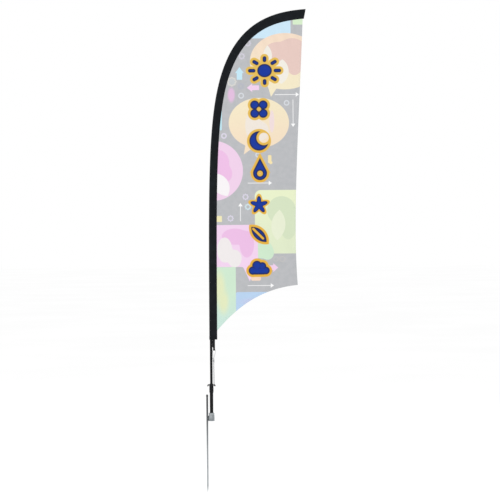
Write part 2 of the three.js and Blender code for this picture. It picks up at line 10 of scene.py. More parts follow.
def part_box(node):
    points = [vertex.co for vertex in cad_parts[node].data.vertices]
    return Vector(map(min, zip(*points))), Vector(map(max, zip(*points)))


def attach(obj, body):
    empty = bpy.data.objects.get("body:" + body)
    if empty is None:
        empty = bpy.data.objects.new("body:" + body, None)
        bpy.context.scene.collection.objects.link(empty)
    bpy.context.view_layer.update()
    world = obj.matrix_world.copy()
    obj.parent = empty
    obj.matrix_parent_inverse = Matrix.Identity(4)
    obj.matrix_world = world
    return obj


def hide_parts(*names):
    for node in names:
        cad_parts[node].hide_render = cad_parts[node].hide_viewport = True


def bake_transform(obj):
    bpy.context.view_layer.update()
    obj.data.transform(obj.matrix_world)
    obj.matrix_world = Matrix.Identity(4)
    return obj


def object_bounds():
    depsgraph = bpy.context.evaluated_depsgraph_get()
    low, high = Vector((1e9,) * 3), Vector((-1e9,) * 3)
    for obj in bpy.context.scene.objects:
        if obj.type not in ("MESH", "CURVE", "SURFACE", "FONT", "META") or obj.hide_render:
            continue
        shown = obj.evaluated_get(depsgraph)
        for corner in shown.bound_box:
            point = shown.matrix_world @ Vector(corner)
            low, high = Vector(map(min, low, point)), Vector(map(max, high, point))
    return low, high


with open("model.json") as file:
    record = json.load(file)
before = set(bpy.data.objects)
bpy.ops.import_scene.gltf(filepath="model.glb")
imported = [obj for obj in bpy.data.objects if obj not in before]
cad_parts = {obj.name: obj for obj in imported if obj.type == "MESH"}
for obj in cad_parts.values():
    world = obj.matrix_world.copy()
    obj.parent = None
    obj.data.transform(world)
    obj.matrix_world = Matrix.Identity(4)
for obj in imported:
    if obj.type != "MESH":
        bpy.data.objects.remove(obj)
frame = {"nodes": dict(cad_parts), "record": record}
CAD_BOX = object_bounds()
BODY_OF = {node: body for body, nodes in frame["record"]["behaviour"]["bodies"].items()
           for node in nodes}
SLOT_OF = {row["node"]: row["material_slot"] for row in frame["record"]["subparts"]}

# ---- Driving sizes, in metres, as the CAD model has them ----

MM = 0.001
POLE_X = 0.5 * sum(corner[0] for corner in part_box("lower_tube"))
SLEEVE_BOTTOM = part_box("pole_sleeve")[0][2]

# Leading edge: its heading from the vertical along the arc length s
FULL_HEADING = math.radians(93.6)
BEND_MIDDLE = 2.704
BEND_SPREAD = 0.145
EDGE_STEP = 0.002

SLEEVE_TOP = 2.961
SLEEVE_WIDTH = 0.0505
SLEEVE_TIP_WIDTH = 0.061
WIDENING = (2.150, 2.850)
NOSE_RADIUS = 0.0108
NOSE_TIP_RADIUS = 0.0079
NOSE_TAPER = (1.080, 2.961)
TAIL_HALF = 0.0008
TAIL_SEAM = 0.005
TIP_SEAM = 0.006
TIP_SLANT = 0.016
SLANT_LENGTH = 0.150
SLEEVE_WALL = 0.0007
SLEEVE_HEM = 0.00045

PANEL_BOTTOM = 0.580
PANEL_TOP = SLEEVE_TOP - 0.006
PANEL_GAP = 0.0003
FLY_CORNER_REACH = 0.518
FLY_CORNER_HEIGHT = 0.868
FLY_BOW = ((0.255, 0.045), (0.67, 0.008))
HEM_BOW = ((0.29, 0.064), (0.62, 0.100))
CLOTH_HALF = 0.00028
HEM_WIDTH = 0.014
HEM_HALF = 0.0006
FLY_HEM_HALF = 0.00074

MID_POLE_RADIUS = 0.008
MID_POLE_WALL = 0.0015
MID_POLE_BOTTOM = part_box("mid_pole")[0][2]
MID_POLE_TOP = 1.080

ELASTIC_RADIUS = 0.0015
ELASTIC_ROUTE = [
    (41.65, 0, 389), (41.6, 0, 398), (40.2, 0, 418), (38.5, 0, 438), (38.1, 0, 451),
    (40.7, 0, 457.2), (46.9, 0, 459.6), (53.1, 0, 457.2), (55.7, 0, 451), (53.7, 0, 438),
    (49.2, 0, 417), (45.6, 0, 400), (45.35, 0, 388), (45.5, 0.1, 376), (46.0, 1.2, 345),
    (46.6, 3.3, 295), (46.9, 5.6, 250), (46.4, 6.3, 235), (45.3, 5.2, 228.4), (44.2, 0, 225.7),
    (43.2, -5.2, 228.4), (43.0, -6.3, 235), (42.6, -5.6, 250), (42.2, -3.3, 295),
    (41.8, -1.2, 345), (41.65, -0.1, 376), (41.65, 0, 386.5),
]


def ramp(value, low, high):
    return np.clip((value - low) / (high - low), 0, 1)


def smooth(value, low, high):
    t = ramp(value, low, high)
    return t * t * (3 - 2 * t)


# ---- Curves of the sail ----


def heading(s):
    return FULL_HEADING / np.sqrt(1 + np.exp((BEND_MIDDLE - s) / BEND_SPREAD))


def leading_edge():
    """Arc lengths and points of the sleeve's front edge, from ground level up."""
    s = np.arange(0, SLEEVE_TOP + 2 * EDGE_STEP, EDGE_STEP)
    angle = heading(s[:-1] + EDGE_STEP / 2)
    x = POLE_X - NOSE_RADIUS + np.concatenate([[0], np.cumsum(np.sin(angle))]) * EDGE_STEP
    z = np.concatenate([[0], np.cumsum(np.cos(angle))]) * EDGE_STEP
    return s, x, z


EDGE_S, EDGE_X, EDGE_Z = leading_edge()


def sail_point(s, u, v):
    """Points at arc length s, u inwards from the leading edge and v across the sail."""
    s, u, v = np.broadcast_arrays(s, u, v)
    angle = heading(s)
    x = np.interp(s, EDGE_S, EDGE_X) + u * np.cos(angle)
    z = np.interp(s, EDGE_S, EDGE_Z) - u * np.sin(angle)
    return np.stack([x, v, z], axis=-1)


def nose_at(s):
    return NOSE_RADIUS + (NOSE_TIP_RADIUS - NOSE_RADIUS) * ramp(s, *NOSE_TAPER)


def width_at(s):
    return SLEEVE_WIDTH + (SLEEVE_TIP_WIDTH - SLEEVE_WIDTH) * ramp(s, *WIDENING)


def slant_at(s):
    return TIP_SLANT * smooth(s, SLEEVE_TOP - SLANT_LENGTH, SLEEVE_TOP)


def bowed_edge(start, end, bows, count):
    """Cubic edge whose two controls lie at a share of the chord, bowed to its left."""
    start, end = np.array(start), np.array(end)
    chord = end - start
    left = np.array([-chord[1], chord[0]]) / np.linalg.norm(chord)
    a, b = (start + share * chord + bow * left for share, bow in bows)
    t = np.linspace(0, 1, count)[:, None]
    return (1 - t) ** 3 * start + 3 * (1 - t) ** 2 * t * a + 3 * (1 - t) * t * t * b + t ** 3 * end


def tail_line(s, inset=0.0):
    """The panel's edge on the sleeve, in X and Z."""
    return sail_point(s - slant_at(s), width_at(s) + PANEL_GAP - inset, 0)[..., [0, 2]]


TAIL = tail_line(np.arange(PANEL_BOTTOM, PANEL_TOP + 0.001, 0.004))
FLY_CORNER = (TAIL[0][0] + FLY_CORNER_REACH, FLY_CORNER_HEIGHT)
HEM = bowed_edge(TAIL[0], FLY_CORNER, HEM_BOW, 120)
FLY = bowed_edge(FLY_CORNER, TAIL[-1], FLY_BOW, 300)
FREE_EDGE = np.concatenate([HEM, FLY[1:]])


def from_tail(x, z):
    """How far points of the panel are from its seam on the sleeve."""
    flat = np.stack([np.ravel(x), np.ravel(z)], axis=1)
    parts = [
        np.sqrt(((part[:, None, :] - TAIL[None]) ** 2).sum(2)).min(1)
        for part in np.array_split(flat, max(1, len(flat) // 4000))
    ]
    return np.concatenate(parts).reshape(np.shape(x))


def bump(distance, middle, width):
    return np.exp(-((distance - middle) / width) ** 2)


def billow(x, z):
    """How far the panel stands off its flat plane: one slow belly, folds that run from its two
    lower corners and across its crown, and a slight drift."""
    away = from_tail(x, z)
    belly = 0.0075 * np.sin(2 * math.pi * (z - 0.75) / 1.9) * smooth(away, 0, 0.5)
    foot_x, foot_z = x - TAIL[0][0], z - TAIL[0][1]
    foot = np.hypot(foot_x, foot_z)
    foot_folds = 0.0022 * bump(foot, 0.34, 0.24) * smooth(foot, 0.02, 0.15)
    foot_folds *= np.sin(15 * np.arctan2(foot_z, foot_x) + 5 * foot)
    fly_x, fly_z = FLY_CORNER[0] - x, z - FLY_CORNER[1]
    fly = np.hypot(fly_x, fly_z)
    fly_folds = 0.0020 * bump(fly, 0.3, 0.22) * smooth(fly, 0.03, 0.15)
    fly_folds *= np.sin(13 * np.arctan2(fly_z, fly_x) + 4 * fly)
    crown = 0.0016 * bump(away, 0.09, 0.07) * smooth(z, 2.0, 2.4) * smooth(away, 0, 0.05)
    crown *= np.sin(2 * math.pi * (x * 0.9 + z * 0.35) / 0.07)
    drift = 0.0014 * np.sin(9.1 * z + 6.0 * x) * np.sin(15.0 * x - 3.7 * z + 1.0)
    return belly + crown + smooth(away, 0, 0.16) * (foot_folds + fly_folds + drift)


# ---- Mesh helpers ----


def link(name, data):
    obj = bpy.data.objects.new(name, data)
    bpy.context.scene.collection.objects.link(obj)
    return obj


def make(name, mesh_data, like=None, material=None, ride=True, sharp=35):
    """A smooth-shaded piece that stands for the CAD node of its name, or one that is added beside
    the node named by like. It rides on the node's body and takes the material of the node's slot."""
    vertices, faces = mesh_data
    node = like or name
    mesh = bpy.data.meshes.new(name)
    mesh.from_pydata([tuple(v) for v in vertices], [], [tuple(f) for f in faces])
    mesh.validate()
    mesh.shade_smooth()
    mesh.set_sharp_from_angle(angle=math.radians(sharp))
    mesh.materials.append(material or FINISHES[SLOT_OF[node]])
    obj = link(name if like else name + "_fine", mesh)
    if not like:
        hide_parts(name)
    if ride:
        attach(obj, BODY_OF[node])
    return obj


def heights(node):
    """The lowest and highest point of a CAD node, in millimetres."""
    return [corner[2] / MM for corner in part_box(node)]


def middle_height(node):
    return sum(corner[2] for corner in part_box(node)) / 2


def circle(count):
    """Cosine and sine of even steps round a circle."""
    angles = (2 * math.pi * k / count for k in range(count))
    return [(math.cos(angle), math.sin(angle)) for angle in angles]


def run_length(points):
    """How far each point is along the line of points."""
    return np.concatenate([[0], np.cumsum(np.linalg.norm(np.diff(points, axis=0), axis=1))])


def resampled(points, lengths, at):
    return np.stack([np.interp(at, lengths, column) for column in points.T], axis=1)


def directions(points):
    """Unit tangents of the line of points."""
    tangents = np.gradient(points, axis=0)
    return tangents / np.linalg.norm(tangents, axis=1)[:, None]


def grid_faces(rows, columns, wrap=False):
    """Quads of a grid of vertices numbered row by row. wrap joins the last column to the first."""
    faces = []
    for i in range(rows - 1):
        for j in range(columns if wrap else columns - 1):
            a, b = i * columns + j, i * columns + (j + 1) % columns
            faces.append((a, b, b + columns, a + columns))
    return faces


def tube_faces(rings, around):
    """Faces of a row of rings, with a flat face at each end."""
    last = (rings - 1) * around
    ends = [tuple(range(around))[::-1], tuple(range(last, last + around))]
    return grid_faces(rings, around, wrap=True) + ends


def ring_faces(rings, around):
    """Faces of a row of rings whose last joins the first."""
    last = (rings - 1) * around
    seam = [(last + k, last + (k + 1) % around, (k + 1) % around, k) for k in range(around)]
    return grid_faces(rings, around, wrap=True) + seam


def rounded(profile, radius, closed):
    """The profile with a three-step arc at each corner that has room for it."""
    points = []
    for i, point in enumerate(profile):
        if not closed and i in (0, len(profile) - 1):
            points.append(point)
            continue
        p = Vector(point)
        before = Vector(profile[i - 1]) - p
        after = Vector(profile[(i + 1) % len(profile)]) - p
        room = min(radius, 0.45 * before.length, 0.45 * after.length)
        a, b = p + before.normalized() * room, p + after.normalized() * room
        points += [(1 - t) ** 2 * a + 2 * (1 - t) * t * p + t * t * b for t in (0, 0.33, 0.67, 1)]
    return points


def turned(name, profile, x=POLE_X, base=0.0, edge=0.3, segments=72, **options):
    """Turned piece about the upright axis at x. The profile is in millimetres as (radius, height),
    going up the outside and down the inside, and either closes on itself or starts and ends on the
    axis. edge is the radius of its rounded corners."""
    closed = profile[0][0] > 0
    vertices, rows = [], []
    for radius, height in rounded(profile, edge, closed) if edge else profile:
        z = base + height * MM
        start = len(vertices)
        if radius < 1e-6:
            rows.append([start] * segments)
            vertices.append((x, 0, z))
        else:
            rows.append(list(range(start, start + segments)))
            vertices += [(x + radius * MM * cosine, radius * MM * sine, z)
                         for cosine, sine in circle(segments)]
    faces = []
    for low, high in zip(rows, rows[1:] + rows[:1] if closed else rows[1:]):
        for k in range(segments):
            n = (k + 1) % segments
            face = list(dict.fromkeys((low[k], low[n], high[n], high[k])))
            if len(face) > 2:
                faces.append(face)
    return make(name, (vertices, faces), **options)


def frames_along(path):
    """Two unit directions across each point of the path, that don't twist along it."""
    tangents = directions(path)
    side = np.cross(tangents[0], (0.0, 1.0, 0.0))
    if np.linalg.norm(side) < 1e-3:
        side = np.array((1.0, 0.0, 0.0))
    sides = []
    for tangent in tangents:
        side = side - tangent * side.dot(tangent)
        side = side / np.linalg.norm(side)
        sides.append(side)
    return np.array(sides), np.cross(tangents, sides)


def tube(path, radii, around=16):
    """Vertices and faces of a tube along a path, with domed ends."""
    radii = np.broadcast_to(radii, len(path)).astype(float)
    first, last = directions(path)[[0, -1]]
    dome = np.array([1.45, 1.0, 0.5])
    shrink, reach = np.cos(dome), np.sin(dome)[:, None]
    path = np.concatenate([
        path[0] - first * radii[0] * reach, path, path[-1] + last * radii[-1] * reach[::-1],
    ])
    radii = np.concatenate([radii[0] * shrink, radii, radii[-1] * shrink[::-1]])
    sides, ups = frames_along(path)
    rings = [p + r * (cosine * side + sine * up) for p, r, side, up in zip(path, radii, sides, ups)
             for cosine, sine in circle(around)]
    return rings, tube_faces(len(path), around)


def spline(points, per_span=12):
    """Centripetal Catmull-Rom curve through the points."""
    p = np.array(points, float)
    p = np.concatenate([[2 * p[0] - p[1]], p, [2 * p[-1] - p[-2]]])
    out = []
    for i in range(len(p) - 3):
        steps = np.linalg.norm(np.diff(p[i:i + 4], axis=0), axis=1)
        knots = np.concatenate([[0], np.cumsum(np.maximum(steps, 1e-9) ** 0.5)])
        final = i == len(p) - 4
        for t in np.linspace(knots[1], knots[2], per_span + final, endpoint=final):
            level = list(p[i:i + 4])
            for first, gap in ((0, 1), (0, 2), (1, 1)):
                ends = ((knots[first + j], knots[first + j + gap]) for j in range(len(level) - 1))
                level = [((high - t) * a + (t - low) * b) / (high - low)
                         for (low, high), a, b in zip(ends, level, level[1:])]
            out.append(level[0])
    return np.array(out)


def merged(*parts):
    """One list of vertices and one of faces from several."""
    vertices, faces = [], []
    for part_vertices, part_faces in parts:
        start = len(vertices)
        vertices += [tuple(v) for v in part_vertices]
        faces += [tuple(start + i for i in face) for face in part_faces]
    return vertices, faces


# ---- Materials ----


def paint(code, share=1.0):
    """Linear colour of a six-digit sRGB code, at a share of its brightness."""
    channels = [int(code[i:i + 2], 16) / 255 for i in (0, 2, 4)]
    linear = [c / 12.92 if c <= 0.04045 else ((c + 0.055) / 1.055) ** 2.4 for c in channels]
    return tuple(share * c for c in linear) + (1.0,)


class Surface:
    """A material's node tree, with short calls that add a node and return its output."""

    ink = 1.0  # brightness of its colour codes

    def __init__(self, name, metallic=0.0, specular=0.5, sheen=0.0):
        self.material = bpy.data.materials.new(name)
        self.material.use_nodes = True
        self.tree = self.material.node_tree
        self.shader = self.tree.nodes["Principled BSDF"]
        self.shader.inputs["Metallic"].default_value = metallic
        self.shader.inputs["Specular IOR Level"].default_value = specular
        self.shader.inputs["Sheen Weight"].default_value = sheen
        self.place = self.tree.nodes.new("ShaderNodeTexCoord").outputs["Object"]

    def add(self, kind, inputs, output=0, **settings):
        node = self.tree.nodes.new("ShaderNode" + kind)
        for key, value in settings.items():
            setattr(node, key, value)
        for key, value in inputs.items():
            if isinstance(value, bpy.types.NodeSocket):
                self.tree.links.new(value, node.inputs[key])
            else:
                node.inputs[key].default_value = value
        return node.outputs[output]

    def math(self, operation, *values):
        return self.add("Math", dict(enumerate(values)), operation=operation)

    def vector(self, operation, *values, output=0):
        return self.add("VectorMath", dict(enumerate(values)), output, operation=operation)

    def length(self, vector):
        return self.vector("LENGTH", vector, output=1)

    def dot(self, a, b):
        return self.vector("DOT_PRODUCT", a, b, output=1)

    def scaled(self, x, y, z):
        return self.vector("MULTIPLY", self.place, (x, y, z))

    def spread(self, value, low, high, start=0.0, end=1.0):
        inputs = {"Value": value, "From Min": low, "From Max": high, "To Min": start, "To Max": end}
        return self.add("MapRange", inputs, interpolation_type="SMOOTHSTEP")

    def noise(self, scale, detail=3.0, vector=None):
        inputs = {"Vector": vector or self.place, "Scale": scale, "Detail": detail}
        return self.add("TexNoise", inputs)

    def wave(self, vector, scale, direction="X", distortion=0.0):
        inputs = {"Vector": vector, "Scale": scale, "Distortion": distortion, "Detail Scale": 1.0}
        return self.add("TexWave", inputs, output="Fac", bands_direction=direction)

    def mix(self, factor, a, b):
        a, b = (paint(c, self.ink) if isinstance(c, str) else c for c in (a, b))
        return self.add("Mix", {0: factor, 6: a, 7: b}, 2, data_type="RGBA")

    def fade(self, value, low, high, a, b, most=1.0):
        """Colour a, giving way to b as the value rises."""
        return self.mix(self.spread(value, low, high, 0.0, most), a, b)

    def finish(self, colour=None, roughness=None, height=None, depth=0.0002, strength=0.6):
        for key, value in (("Base Color", colour), ("Roughness", roughness)):
            if isinstance(value, bpy.types.NodeSocket):
                self.tree.links.new(value, self.shader.inputs[key])
            elif value is not None:
                self.shader.inputs[key].default_value = value
        if height is not None:
            inputs = {"Strength": strength, "Distance": depth, "Height": height}
            self.tree.links.new(self.add("Bump", inputs), self.shader.inputs["Normal"])
        return self.material


def turned_metal(name, light, dark, roughness, metallic=1.0):
    """Machined metal: fine rings about the upright axis, faint stains and rubbed patches."""
    s = Surface(name, metallic=metallic)
    rings = s.noise(2600, 2, s.scaled(0.02, 0.02, 1))
    cloud = s.noise(45, 4)
    colour = s.mix(s.math("MULTIPLY", rings, 0.25), s.fade(cloud, 0.35, 0.7, light, dark), dark)
    rubbed = s.math("MULTIPLY_ADD", rings, 0.4, cloud)
    rough = s.spread(rubbed, 0.4, 1.1, roughness, roughness + 0.22)
    return s.finish(colour, rough, rings, 0.00003, 0.5)


def zinc_plate(name):
    """Zinc-plated bar, darker towards its top and lighter towards its point, with fine lengthwise
    scratches from soil.
    """
    s = Surface(name, metallic=0.75)
    cloud = s.noise(60, 5)
    scratches = s.noise(900, 3, s.scaled(1, 1, 0.02))
    colour = s.fade(s.dot(s.place, (0, 0, 1)), -0.36, 0.12, "a4a8ab", "4c4e50")
    colour = s.fade(cloud, 0.5, 0.8, colour, "74787b", 0.4)
    colour = s.fade(scratches, 0.62, 0.72, colour, "b9bcbe", 0.5)
    return s.finish(colour, s.spread(cloud, 0.3, 0.8, 0.34, 0.55), scratches, 0.00006, 0.4)


def black_coat(name, base, lift, roughness, grain=1500):
    """Powder coat or moulded plastic: an even fine grain, with lighter rubbed places."""
    s = Surface(name, specular=0.14)
    grains = s.noise(grain, 2)
    rubbed = s.noise(38, 4, s.scaled(1, 1, 0.25))
    dulled = s.math("MULTIPLY_ADD", grains, 0.5, rubbed)
    rough = s.spread(dulled, 0.45, 1.0, roughness, roughness + 0.18)
    return s.finish(s.fade(rubbed, 0.5, 0.75, base, lift), rough, grains, 0.00006, 0.45)


def woven(name, base, lift, pitch, depth, specular=0.12):
    """Plain-weave cloth: two crossing sets of threads, a slight shade change and lint."""
    s = Surface(name, specular=specular, sheen=0.12)
    s.shader.inputs["Sheen Roughness"].default_value = 0.5
    warp, weft = (s.wave(s.place, pitch, direction, 0.4) for direction in "XZ")
    weave = s.math("MULTIPLY", warp, weft)
    lint = s.noise(700, 2)
    colour = s.mix(s.math("MULTIPLY", weave, 0.6), base, lift)
    colour = s.fade(s.noise(22, 3), 0.4, 0.75, colour, lift, 0.5)
    height = s.math("MULTIPLY_ADD", lint, 0.4, weave)
    return s.finish(colour, s.spread(lint, 0.3, 0.7, 0.72, 0.92), height, depth, 0.7)


def ribbed_webbing(name):
    """Woven strap: herringbone ribs along its length."""
    s = Surface(name, specular=0.15, sheen=0.2)
    ribs = s.wave(s.place, 420, "X", 0.0)
    height = s.math("MULTIPLY_ADD", s.wave(s.place, 600, "Z", 1.5), 0.6, ribs)
    colour = s.mix(s.math("MULTIPLY", height, 0.5), "08090a", "232528")
    return s.finish(colour, 0.82, height, 0.0003, 0.8)


def braided_elastic(name):
    """White shock cord: the small diamonds of its braid, with painted shade greying the hollows
    between them.
    """
    s = Surface(name, specular=0.25, sheen=0.15)
    cells = s.add("TexVoronoi", {"Vector": s.scaled(1, 1, 0.6), "Scale": 1500.0}, output="Distance")
    # Painted shade: grey towards each braid cell's edge, in the hollows where the bump is lowest.
    colour = s.fade(cells, 0.2, 0.7, "dededd", "85878a")
    colour = s.fade(s.noise(90, 3), 0.55, 0.8, colour, "a9a8a4", 0.35)
    return s.finish(colour, 0.78, s.math("SUBTRACT", 1.0, cells), 0.00025, 0.8)


def soft_rubber(name):
    s = Surface(name, specular=0.3)
    grain = s.noise(1100, 3)
    colour = s.fade(s.noise(120, 4), 0.45, 0.75, "3c3d3e", "606163")
    return s.finish(colour, s.spread(grain, 0.3, 0.7, 0.68, 0.88), grain, 0.0001, 0.5)


# ---- The panel's print ----

class Print(Surface):
    """Flat print shapes as signed distances in millimetres on the panel's own X and Z."""

    ink = 0.79

    def __init__(self, name):
        super().__init__(name, specular=0.18, sheen=0.05)
        self.p = self.scaled(1000, 0, 1000)
        self.colour = None

    def at(self, x, z):
        return self.vector("SUBTRACT", self.p, (x, 0, z))

    def ellipse(self, x, z, rx, rz):
        size = min(rx, rz)
        reach = self.length(self.vector("MULTIPLY", self.at(x, z), (1 / rx, 0, 1 / rz)))
        return self.math("MULTIPLY_ADD", reach, size, -size)

    def disc(self, x, z, radius):
        return self.math("SUBTRACT", self.length(self.at(x, z)), radius)

    def box(self, left, right, low, high, radius):
        half = ((right - left) / 2 - radius, 0, (high - low) / 2 - radius)
        away = self.vector("ABSOLUTE", self.at((left + right) / 2, (low + high) / 2))
        away = self.vector("MAXIMUM", self.vector("SUBTRACT", away, half), (0, 0, 0))
        return self.math("SUBTRACT", self.length(away), radius)

    def line(self, a, b, half):
        along = (b[0] - a[0], 0, b[1] - a[1])
        square = along[0] ** 2 + along[2] ** 2
        start = self.at(*a)
        share = self.math("DIVIDE", self.dot(start, along), square)
        share = self.add("Clamp", {"Value": share})
        foot = self.add("VectorMath", {0: along, "Scale": share}, operation="SCALE")
        return self.math("SUBTRACT", self.length(self.vector("SUBTRACT", start, foot)), half)

    def polygon(self, *corners):
        """Convex, its corners anticlockwise."""
        sides = []
        for (ax, az), (bx, bz) in zip(corners, corners[1:] + corners[:1]):
            size = math.hypot(bx - ax, bz - az)
            normal = ((bz - az) / size, 0, (ax - bx) / size)
            offset = normal[0] * ax + normal[2] * az
            sides.append(self.math("SUBTRACT", self.dot(self.p, normal), offset))
        return self.both(*sides)

    def fold(self, operation, shapes, *size):
        return reduce(lambda a, b: self.math(operation, a, b, *size), shapes)

    def join(self, *shapes):
        return self.fold("MINIMUM", shapes)

    def melt(self, size, *shapes):
        return self.fold("SMOOTH_MIN", shapes, size)

    def both(self, *shapes):
        return self.fold("MAXIMUM", shapes)

    def less(self, shape, hole):
        return self.math("MAXIMUM", shape, self.math("MULTIPLY", hole, -1.0))

    def rim(self, shape, half):
        return self.math("SUBTRACT", self.math("ABSOLUTE", shape), half)

    def lobed(self, x, z, radius, lobe, count, turn=0.0):
        """A disc whose radius swells and shrinks count times round."""
        away = self.at(x, z)
        parts = self.tree.nodes.new("ShaderNodeSeparateXYZ")
        self.tree.links.new(away, parts.inputs[0])
        angle = self.math("ARCTAN2", parts.outputs[2], parts.outputs[0])
        swell = self.math("COSINE", self.math("MULTIPLY_ADD", angle, float(count), turn))
        reach = self.math("MULTIPLY_ADD", swell, lobe, radius)
        return self.math("SUBTRACT", self.length(away), reach)

    def cog(self, x, z, radius=15.0):
        return self.rim(self.lobed(x, z, radius, 2.2, 8), 4.2)

    def arrow(self, a, b):
        """A thin line from a that ends in a small triangle at b."""
        half, head = 1.8, 14.0
        (ax, az), (bx, bz) = a, b
        size = math.hypot(bx - ax, bz - az)
        dx, dz = (bx - ax) / size, (bz - az) / size
        base = (bx - dx * head * 1.5, bz - dz * head * 1.5)
        left = (base[0] - dz * head, base[1] + dx * head)
        right = (base[0] + dz * head, base[1] - dx * head)
        return self.join(self.line(a, base, half), self.polygon(right, b, left))

    def layer(self, colour, shape, soft=1.4, cover=1.0):
        self.colour = self.mix(self.spread(shape, -soft, soft, cover, 0.0), self.colour, colour)

    def upward(self, low, high, bottom, top):
        """A colour that fades from one paint to another up the panel."""
        return self.fade(self.dot(self.p, (0, 0, 1)), low, high, bottom, top)


def pastel_shapes(s):
    """The pale shapes behind the large marks: bubbles, blocks, leaves and small arrows."""
    s.layer("cbe6f6", s.box(140, 552, 2446, 2700, 30))
    s.layer("d6ecca", s.box(566, 700, 2532, 2700, 6))
    s.layer(s.upward(2130, 2470, "f3e8c8", "f3dcc6"), s.melt(
        10, s.ellipse(515, 2299, 224, 180), s.polygon((424, 2072), (475, 2150), (395, 2170))))
    s.layer("e6c9c0", s.melt(
        30, s.ellipse(470, 2350, 92, 72), s.ellipse(560, 2368, 90, 78),
        s.ellipse(575, 2290, 55, 80)))
    s.layer("f0ece2", s.join(
        s.both(s.disc(340, 2335, 92), s.disc(468, 2335, 92)),
        s.both(s.disc(446, 2235, 92), s.disc(542, 2230, 92))))
    s.layer(s.upward(1760, 2050, "f3dfc4", "f3e6c6"), s.melt(
        10, s.ellipse(345, 1906, 193, 160), s.polygon((248, 1706), (330, 1765), (262, 1790))))
    s.layer("eee5da", s.melt(24, s.ellipse(306, 1890, 48, 95), s.ellipse(352, 1855, 56, 62)))
    s.layer("efdcdb", s.ellipse(428, 1915, 16, 70))
    s.layer("efd0e9", s.disc(49, 1602, 192))
    s.layer("edbfe5", s.melt(20, s.ellipse(75, 1655, 78, 82), s.ellipse(120, 1585, 52, 60)))
    s.layer("f6f2f4", s.both(s.disc(60, 1490, 95), s.disc(150, 1570, 130)))
    s.layer(s.upward(1090, 1470, "e0eaca", "e9f1cb"), s.box(315, 760, 1070, 1477, 38))
    s.layer("d6e3c3", s.melt(20, s.ellipse(486, 1345, 92, 92), s.ellipse(528, 1270, 55, 110)))
    s.layer("e8eed4", s.both(s.disc(380, 1260, 130), s.disc(550, 1245, 130)))
    s.layer("cfe9cd", s.melt(20, s.ellipse(355, 1100, 70, 60), s.ellipse(395, 1075, 40, 44)))
    s.layer("f2d3ee", s.melt(
        14, s.box(40, 333, 986, 1255, 30), s.polygon((280, 893), (318, 1010), (226, 1010))))
    s.layer("ecbfe5", s.melt(22, s.ellipse(186, 1180, 84, 52), s.ellipse(262, 1130, 46, 84)))
    s.layer("efeaea", s.melt(26, s.ellipse(120, 1095, 48, 80), s.ellipse(184, 1040, 44, 56)))
    s.layer(s.upward(600, 860, "cbe7dc", "cfe9d0"), s.box(40, 190, 540, 986, 8))
    s.layer("e3eac0", s.melt(20, s.ellipse(84, 850, 34, 96), s.ellipse(110, 765, 30, 70)), 18.0)
    s.layer("b9d3f0", s.box(190, 480, 600, 825, 10))
    s.layer("c3cdec", s.ellipse(312, 762, 86, 22), 14.0)
    s.layer("c3e6f4", s.join(
        s.box(206, 241, 2183, 2232, 4), s.polygon((196, 2226), (251, 2226), (223, 2264))))
    s.layer("f0cfec", s.join(
        s.box(296, 348, 2116, 2146, 4), s.polygon((270, 2131), (304, 2104), (304, 2158)),
        s.box(396, 436, 964, 995, 4), s.polygon((462, 980), (430, 1008), (430, 952))))
    s.layer("e4bcdf", s.ellipse(170, 2086, 22, 44), 8.0, 0.9)
    s.layer("bfe7f3", s.line((101, 1866), (103, 1984), 6))
    s.layer("f5e2ae", s.join(s.box(402, 424, 1650, 1700, 6), s.disc(420, 1652, 10)))
    s.layer("f1e8b8", s.box(60, 104, 1275, 1313, 3))
    s.layer("f6d8c4", s.box(287, 351, 897, 925, 12))


def small_marks(s):
    """Cogs, rings and thin arrows."""
    s.layer("cdd3d6", s.disc(174, 2171, 22), 8.0, 0.6)
    s.layer("dbd9d2", s.cog(174, 2171, 25), 3.0, 0.85)
    s.layer("b1b4c2", s.rim(s.disc(232, 2142, 14), 6), 6.0, 0.6)
    s.layer("d9d4e4", s.join(s.cog(279, 2415), s.cog(239, 2333)), 3.0, 0.7)
    s.layer("d9d4e4", s.join(
        s.cog(256, 1434), s.cog(159, 1297), s.rim(s.disc(121, 1825, 14), 4.5)))
    s.layer("d4d8de", s.join(
        s.rim(s.disc(233, 2081, 15), 4), s.rim(s.disc(523, 2033, 14), 4),
        s.rim(s.disc(338, 1702, 13), 4.5)))
    s.layer("cfe4ea", s.cog(271, 1370))
    s.layer("c3c1c0", s.join(s.rim(s.disc(448, 1035, 14), 3), s.rim(s.disc(489, 1035, 16), 3)))
    s.layer("fbfbfb", s.join(
        s.arrow((450, 2086), (603, 2086)), s.arrow((564, 2052), (564, 1879)),
        s.arrow((272, 1522), (426, 1522)), s.arrow((223, 1280), (223, 1395)),
        s.arrow((267, 866), (434, 866))))


